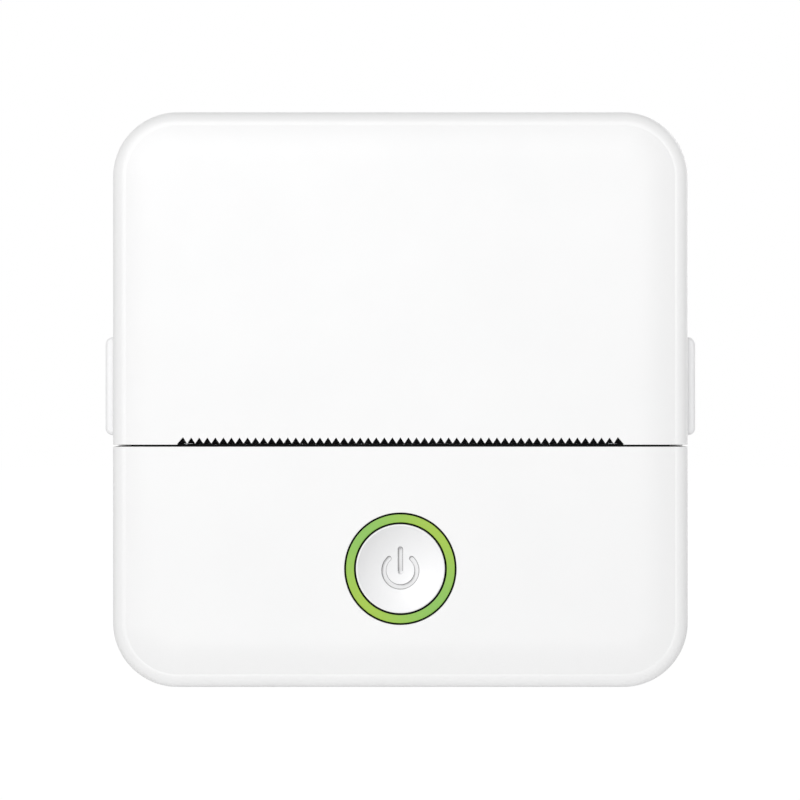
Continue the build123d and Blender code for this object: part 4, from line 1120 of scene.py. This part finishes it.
def back_shell():
    """Rear half: room for the barrel, the hinge's ears, screw posts and wells, catches for the buttons."""
    low = (-half_width, shell_front_y, 0.0)
    high = (half_width, shell_front_y, case_top)
    piece = plate("back_shell_body", "y", low, high, corner_radius, corner_steps)
    edit(piece)
    pick_all()
    pull(y=back_edge_y - shell_front_y)
    bpy.ops.mesh.normals_make_consistent(inside=False)
    pick_faces(piece, lambda middle, normal: middle.y > back_edge_y - near and abs(normal.y) > 0.9)
    round_over(back_edge_radius, edge_steps)
    pick_all()
    bpy.ops.mesh.normals_make_consistent(inside=False)
    pick_edges(piece, lambda point: abs(point.y - shell_front_y) < near)
    round_picked(seam_round)
    close_up(piece)
    carve(piece, case_outline("shell_hollow", shell_front_y - 1, inner_back_y, wall))
    lean = math.radians(11.0)
    relief_y = hinge_y + relief_radius * math.cos(lean)
    relief_z = hinge_z + relief_radius * math.sin(lean)
    relief_top_y = relief_y + (case_top + 1 - relief_z) * math.tan(lean)
    relief_start = (-relief_half, hinge_y, hinge_z)
    carve(piece, rod("barrel_relief", "x", relief_start, 2 * relief_half, relief_radius, sides=96))
    relief_top = prism(
        "barrel_relief_top",
        "x",
        [
            (-1.0, hinge_z),
            (hinge_y, hinge_z),
            (relief_y, relief_z),
            (relief_top_y, case_top + 1),
            (-1.0, case_top + 1),
        ],
        -relief_half,
        relief_half,
    )
    carve(piece, relief_top)
    extras = [hinge_ear(side, relief_y) for side in (-1, 1)]
    root_y = inner_back_y + post_root
    for side in (-1, 1):
        x = side * corner_post_x
        post = rod("corner_post", "y", (x, 0.0, corner_post_z), root_y, corner_post_radius, sides=48)
        carve(piece, post, "UNION")
        carve(piece, rod("screw_way", "y", (x, -1.0, corner_post_z), length=6.0, radius=1.15, sides=40))
        carve(piece, rod("screw_well", "y", (x, 4.0, corner_post_z), back_y, well_radius, sides=48))
        for z in chassis_post_heights:
            x = side * chassis_post_x
            end_y = inner_back_y - 3.0
            post = hollow_post("chassis_boss", x, z, root_y, end_y, post_radius, screw_radius, depth=2.8)
            extras.append(post)

    def on_well(point):
        radius = math.hypot(abs(point.x) - corner_post_x, point.z - corner_post_z)
        return point.y > back_y - 0.01 and abs(radius - well_radius) < 0.02

    soften(piece, on_well, width=0.2, segments=3)
    catch_half = 2.3
    for side in (-1, 1):
        start = inner_half - 0.5 if side > 0 else -inner_half - 0.9
        low = (start, 1.1, tab_mid_z - catch_half)
        high = (start + 1.4, 2.85, tab_mid_z + catch_half)
        carve(piece, slab("catch", "x", low, high))
    for extra in extras:
        carve(piece, extra, "UNION")
    clear_slivers(piece)
    return piece


front = front_block("front_block")
for shape, node in ((paper_cover, "paper_cover"), (front_panel, "front_bezel"), (back_shell, "rear_shell")):
    finish_piece(smooth(shape(), angle=28.0), node)
bpy.data.objects.remove(front)


# Power button


def dish_y(radius):
    """Depth of the dish at a distance from the button's middle."""
    return front_y + dish_depth - dish_sphere + math.sqrt(dish_sphere**2 - radius**2)


def symbol_bar():
    """Cutter of the symbol's upright line, with a round end and sloping walls."""
    low_z = -0.79
    high_z = 3.11
    turn_z = 1.2
    tilt = math.atan2(dish_y(0.0) - dish_y(high_z), high_z)
    piece = slab(
        "symbol_bar",
        "y",
        (-groove_half, cutter_front_y, button_z + low_z),
        (groove_half, dish_y(turn_z), button_z + high_z),
        groove_half - 0.005,
        8,
    )
    edit(piece)
    pick_ends(piece, 1.0)
    bpy.ops.mesh.inset(thickness=groove_slope, depth=groove_depth)
    pick_all()
    turn_centre = (0.0, dish_y(turn_z), button_z + turn_z)
    bpy.ops.transform.rotate(value=-tilt, orient_axis="X", center_override=turn_centre)
    return close_up(piece)


def symbol_arc():
    """Cutters of the symbol's open ring: a swept groove and its two round ends."""
    radius = 2.28
    centre_z = button_z - 0.28
    gap = math.radians(43.0)
    top_y = dish_y(2.4)
    section = [
        (radius - groove_half, cutter_front_y),
        (radius - groove_half, top_y),
        (radius - groove_half + groove_slope, top_y + groove_depth),
        (radius + groove_half - groove_slope, top_y + groove_depth),
        (radius + groove_half, top_y),
        (radius + groove_half, cutter_front_y),
    ]
    points = [(r * math.sin(gap), y, centre_z + r * math.cos(gap)) for r, y in section]
    sweep = drawn_line("symbol_arc", points)
    pick_all()
    bpy.ops.mesh.edge_face_add()
    bpy.ops.mesh.spin(
        steps=72, angle=-(math.tau - 2 * gap), center=(0.0, 0.0, centre_z), axis=(0.0, 1.0, 0.0)
    )
    close_up(sweep)
    cutters = [sweep]
    end_profile = [
        (0.0, cutter_front_y),
        (groove_half, cutter_front_y),
        (groove_half, top_y),
        (groove_half - groove_slope, top_y + groove_depth),
        (0.0, top_y + groove_depth),
    ]
    for side in (-1, 1):
        middle = (side * radius * math.sin(gap), 0.0, centre_z + radius * math.cos(gap))
        cutters.append(turned("symbol_end", "y", middle, end_profile, steps=32))
    return cutters


def mark_engraving_shade(piece):
    """Marks the engraving's steep walls, which the button's finish paints grey as painted shade in the
    groove.
    """
    reach = 3.6
    deepest = front_y + dish_depth + groove_depth
    wall_shade_marks = piece.data.attributes.new("engraving_wall_shade", "FLOAT", "FACE")
    for face in piece.data.polygons:
        across = math.hypot(face.center.x, face.center.z - button_z)
        steep = abs(face.normal.y) < 0.7
        wall_shade_marks.data[face.index].value = float(steep and across < reach and face.center.y < deepest)


def power_cap():
    """Dished cap with a thin rim, a flange behind the ring, a stem and the power symbol."""
    rim_round = 0.1
    rim_steps = 4
    dish_steps = 20
    bevel = 0.05
    flange_front_y = ring_front_y + 2.3
    flange_back_y = flange_front_y + 0.54
    stem_radius = 2.0
    stem_end_y = high_of("power_cap").y
    profile = []
    for step in range(dish_steps + 1):
        radius = dish_radius * step / dish_steps
        profile.append((radius, dish_y(radius)))
    for step in range(1, rim_steps + 1):
        angle = math.pi / 2 * step / rim_steps
        radius = cap_radius - rim_round + rim_round * math.sin(angle)
        profile.append((radius, front_y + rim_round * (1 - math.cos(angle))))
    profile += [
        (cap_radius, flange_front_y),
        (cap_flange_radius - bevel, flange_front_y),
        (cap_flange_radius, flange_front_y + bevel),
        (cap_flange_radius, flange_back_y - bevel),
        (cap_flange_radius - bevel, flange_back_y),
        (stem_radius, flange_back_y),
        (stem_radius, stem_end_y),
        (0.0, stem_end_y),
    ]
    piece = turned("power_button_cap", "y", (0.0, 0.0, button_z), profile, steps=128)
    for cutter in (symbol_bar(), *symbol_arc()):
        carve(piece, cutter)
    clear_slivers(piece)
    mark_engraving_shade(piece)
    return piece


cap_piece = finish_piece(smooth(power_cap(), angle=30.0), "power_cap")


def light_ring():
    """Green light guide: a rounded front, a step, a flange behind the panel and a tube to the lamps."""
    bore = 7.05
    flange_radius = 8.7
    flange_y = inner_front_y
    flange_end_y = flange_y + 1.0
    step_y = ring_front_y + 2.2
    bevel = 0.05
    soft = 0.12
    softer = soft * 0.3
    profile = [
        (ring_inner, step_y),
        (ring_inner, ring_front_y + soft),
        (ring_inner + softer, ring_front_y + softer),
        (ring_inner + soft, ring_front_y),
        (ring_outer - soft, ring_front_y),
        (ring_outer - softer, ring_front_y + softer),
        (ring_outer, ring_front_y + soft),
        (ring_outer, flange_y),
        (flange_radius - bevel, flange_y),
        (flange_radius, flange_y + bevel),
        (flange_radius, flange_end_y - bevel),
        (flange_radius - bevel, flange_end_y),
        (ring_outer, flange_end_y),
        (ring_outer, ring_back_y - bevel),
        (ring_outer - bevel, ring_back_y),
        (bore + bevel, ring_back_y),
        (bore, ring_back_y - bevel),
        (bore, step_y),
        (ring_inner, step_y),
    ]
    return turned("green_ring", "y", (0.0, 0.0, button_z), profile, steps=128)


finish_piece(smooth(light_ring(), angle=30.0), "light_ring")


# Foam pad behind the battery


def battery_pad():
    """Closed foam with a full rim, lightly crowned where it isn't pressed flat."""
    low = low_of("battery_pad")
    high = high_of("battery_pad")
    rim = 0.32
    crown = 0.08
    crown_width = 2.4
    steps = 6
    piece = slab(
        "battery_foam_pad",
        "y",
        (low.x, low.y + rim + crown, low.z),
        (high.x, high.y - rim - crown, high.z),
        3.0,
        10,
    )
    for facing in (-1.0, 1.0):
        edit(piece)
        pick_ends(piece, facing)
        round_over(rim, steps)
        risen = 0.0
        for step in range(1, steps + 1):
            rise = crown * math.sin(math.pi / 2 * step / steps)
            bpy.ops.mesh.inset(thickness=crown_width / steps, depth=rise - risen)
            risen = rise
        bpy.ops.object.mode_set(mode="OBJECT")
    edit(piece)
    return close_up(piece)


pad_piece = finish_piece(smooth(battery_pad(), angle=60.0), "battery_pad")


# The other pieces keep their shapes, with their edges broken


def dressed(node, edge):
    """A copy of a node, its flat faces made whole, its edges rounded and its round faces smooth."""
    piece = twin(frame["nodes"][node], node + "_finished")
    piece.parent = None
    for key in [k for k in piece.keys() if k.startswith("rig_")]:
        del piece[key]
    piece.hide_render = False
    piece.hide_viewport = False
    piece.scale = (TO_MM, TO_MM, TO_MM)
    settle(piece)
    edit(piece)
    bpy.ops.mesh.select_mode(type="VERT")
    pick_all()
    bpy.ops.mesh.remove_doubles(threshold=0.002)
    bpy.ops.mesh.dissolve_limited(angle_limit=math.radians(1.0))
    bpy.ops.object.mode_set(mode="OBJECT")
    if edge:
        round_edges(piece, edge)
        clear_slivers(piece)
    return finish_piece(smooth(piece), node)


edge_widths = {
    "release_button_left": 0.05,
    "release_button_right": 0.05,
    "cover_frame": 0.1,
    "paper_trough": 0.1,
    "paper_guide": 0.03,
    "chassis_plate_left": 0.08,
    "chassis_plate_right": 0.08,
    "chassis_crossbar": 0.08,
    "hinge_rod": 0.08,
    "platen_shaft": 0.1,
    "platen_rubber": 0.2,
    "platen_bearings": 0.1,
    "platen_gear": 0.05,
    "idler_gear": 0.05,
    "motor_pinion": 0.04,
    "motor_shaft": 0.08,
    "motor_body": 0.3,
    "motor_bracket": 0.06,
    "idler_pin": 0.05,
    "head_heatsink": 0.12,
    "head_substrate": 0.05,
    "head_socket": 0.08,
    "head_flex": 0.0,
    "head_springs": 0.0,
    "release_spring_left": 0.0,
    "release_spring_right": 0.0,
    "main_board": 0.05,
    "board_components": 0.1,
    "board_sockets": 0.08,
    "radio_module": 0.1,
    "ring_leds": 0.06,
    "usb_port": 0.04,
    "usb_tongue": 0.05,
    "tact_switch": 0.06,
    "switch_plunger": 0.08,
    "battery_pack": 0.3,
    "battery_leads": 0.0,
    "paper_sensor": 0.06,
    "case_screws": 0.05,
    "chassis_screws": 0.05,
    "board_screws": 0.05,
    "cover_screws": 0.05,
    "motor_screws": 0.05,
}


finished = {node: dressed(node, edge) for node, edge in edge_widths.items()}


# Springs and the flat cable, which shorten as the buttons and the print head move, get meshes of their own


def give_way(node):
    """Gives a springy piece a mesh of its own."""
    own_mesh(finished[node])


give_way("release_spring_left")
give_way("release_spring_right")
give_way("head_springs")
give_way("head_flex")


# Floor, background and lamps


def pale_floor():
    """A plain pale floor: white to the camera, with the object's shadow kept faint."""
    tone = 0.46
    lift = 0.38
    seen_white = 1.08
    seen_share = 0.84
    clear_selection()
    bpy.ops.mesh.primitive_plane_add(size=1, location=(0.0, 0.0, -0.00005))
    floor = bpy.context.object
    floor.name = "floor"
    floor.scale = (6.0, 6.0, 1.0)
    settle(floor)
    material = bpy.data.materials.new("pale_floor")
    material.use_nodes = True
    tree = material.node_tree
    tree.nodes.clear()
    matt = add_node(tree, "BsdfDiffuse", {"Color": colour((tone, tone, tone))})
    faint = add_node(tree, "Emission", {"Color": WHITE, "Strength": lift})
    bright = add_node(tree, "Emission", {"Color": WHITE, "Strength": seen_white})
    lifted = add_node(tree, "AddShader", {0: matt.outputs[0], 1: faint.outputs[0]})
    path = add_node(tree, "LightPath", {})
    share = calculate(tree, "MULTIPLY", path.outputs["Is Camera Ray"], seen_share)
    mix = add_node(tree, "MixShader", {0: share, 1: lifted.outputs[0], 2: bright.outputs[0]})
    add_node(tree, "OutputMaterial", {"Surface": mix.outputs[0]})
    floor.data.materials.append(material)


def white_surround(ambient):
    """White where the camera, a reflection or glass sees it, and softer as light."""
    world = bpy.data.worlds.new("white_surround")
    bpy.context.scene.world = world
    world.use_nodes = True
    tree = world.node_tree
    background = tree.nodes["Background"].inputs
    background["Color"].default_value = WHITE
    path = add_node(tree, "LightPath", {}).outputs
    seen = calculate(tree, "MAXIMUM", path["Is Camera Ray"], path["Is Glossy Ray"])
    seen = calculate(tree, "MAXIMUM", seen, path["Is Transmission Ray"])
    strength = add_node(tree, "MapRange", {"Value": seen, "To Min": ambient, "To Max": 1.0})
    tree.links.new(strength.outputs["Result"], background["Strength"])


def soft_lamp(name, place, aim, size, power):
    """A large square lamp that points at a place."""
    data = bpy.data.lights.new(name, "AREA")
    data.shape = "SQUARE"
    data.size = size
    data.energy = power
    lamp = bpy.data.objects.new(name, data)
    lamp.location = place
    lamp.rotation_euler = (Vector(aim) - Vector(place)).to_track_quat("-Z", "Y").to_euler()
    bpy.context.scene.collection.objects.link(lamp)
    return lamp


def shine_on(lamp, piece, wanted):
    """Limits a lamp to one piece, or keeps it off that piece."""
    group = bpy.data.collections.new(lamp.name + "_pieces")
    group.objects.link(piece)
    group.collection_objects[0].light_linking.link_state = "INCLUDE" if wanted else "EXCLUDE"
    lamp.light_linking.receiver_collection = group


pale_floor()
white_surround(0.48)
middle = (0.0, -0.01, 0.04)
case_lamps = [
    soft_lamp("wide_lamp", (-0.15, -1.38, 0.25), middle, 0.9, 4.1),
    soft_lamp("sheen_lamp", (-0.13, -1.25, 0.17), middle, 0.42, 2.6),
    soft_lamp("upper_left_lamp", (-0.62, -1.05, 0.62), middle, 0.5, 1.7),
]
soft_lamp("back_lamp", (0.85, 1.0, 0.45), middle, 0.9, 3.2)
button_lamp = soft_lamp("button_lamp", (-0.56, -0.94, 0.6), middle, 0.5, 8.6)
for lamp in case_lamps:
    shine_on(lamp, cap_piece, False)
shine_on(button_lamp, cap_piece, True)
bpy.context.scene.view_settings.view_transform = "Standard"

bpy.context.view_layer.update()
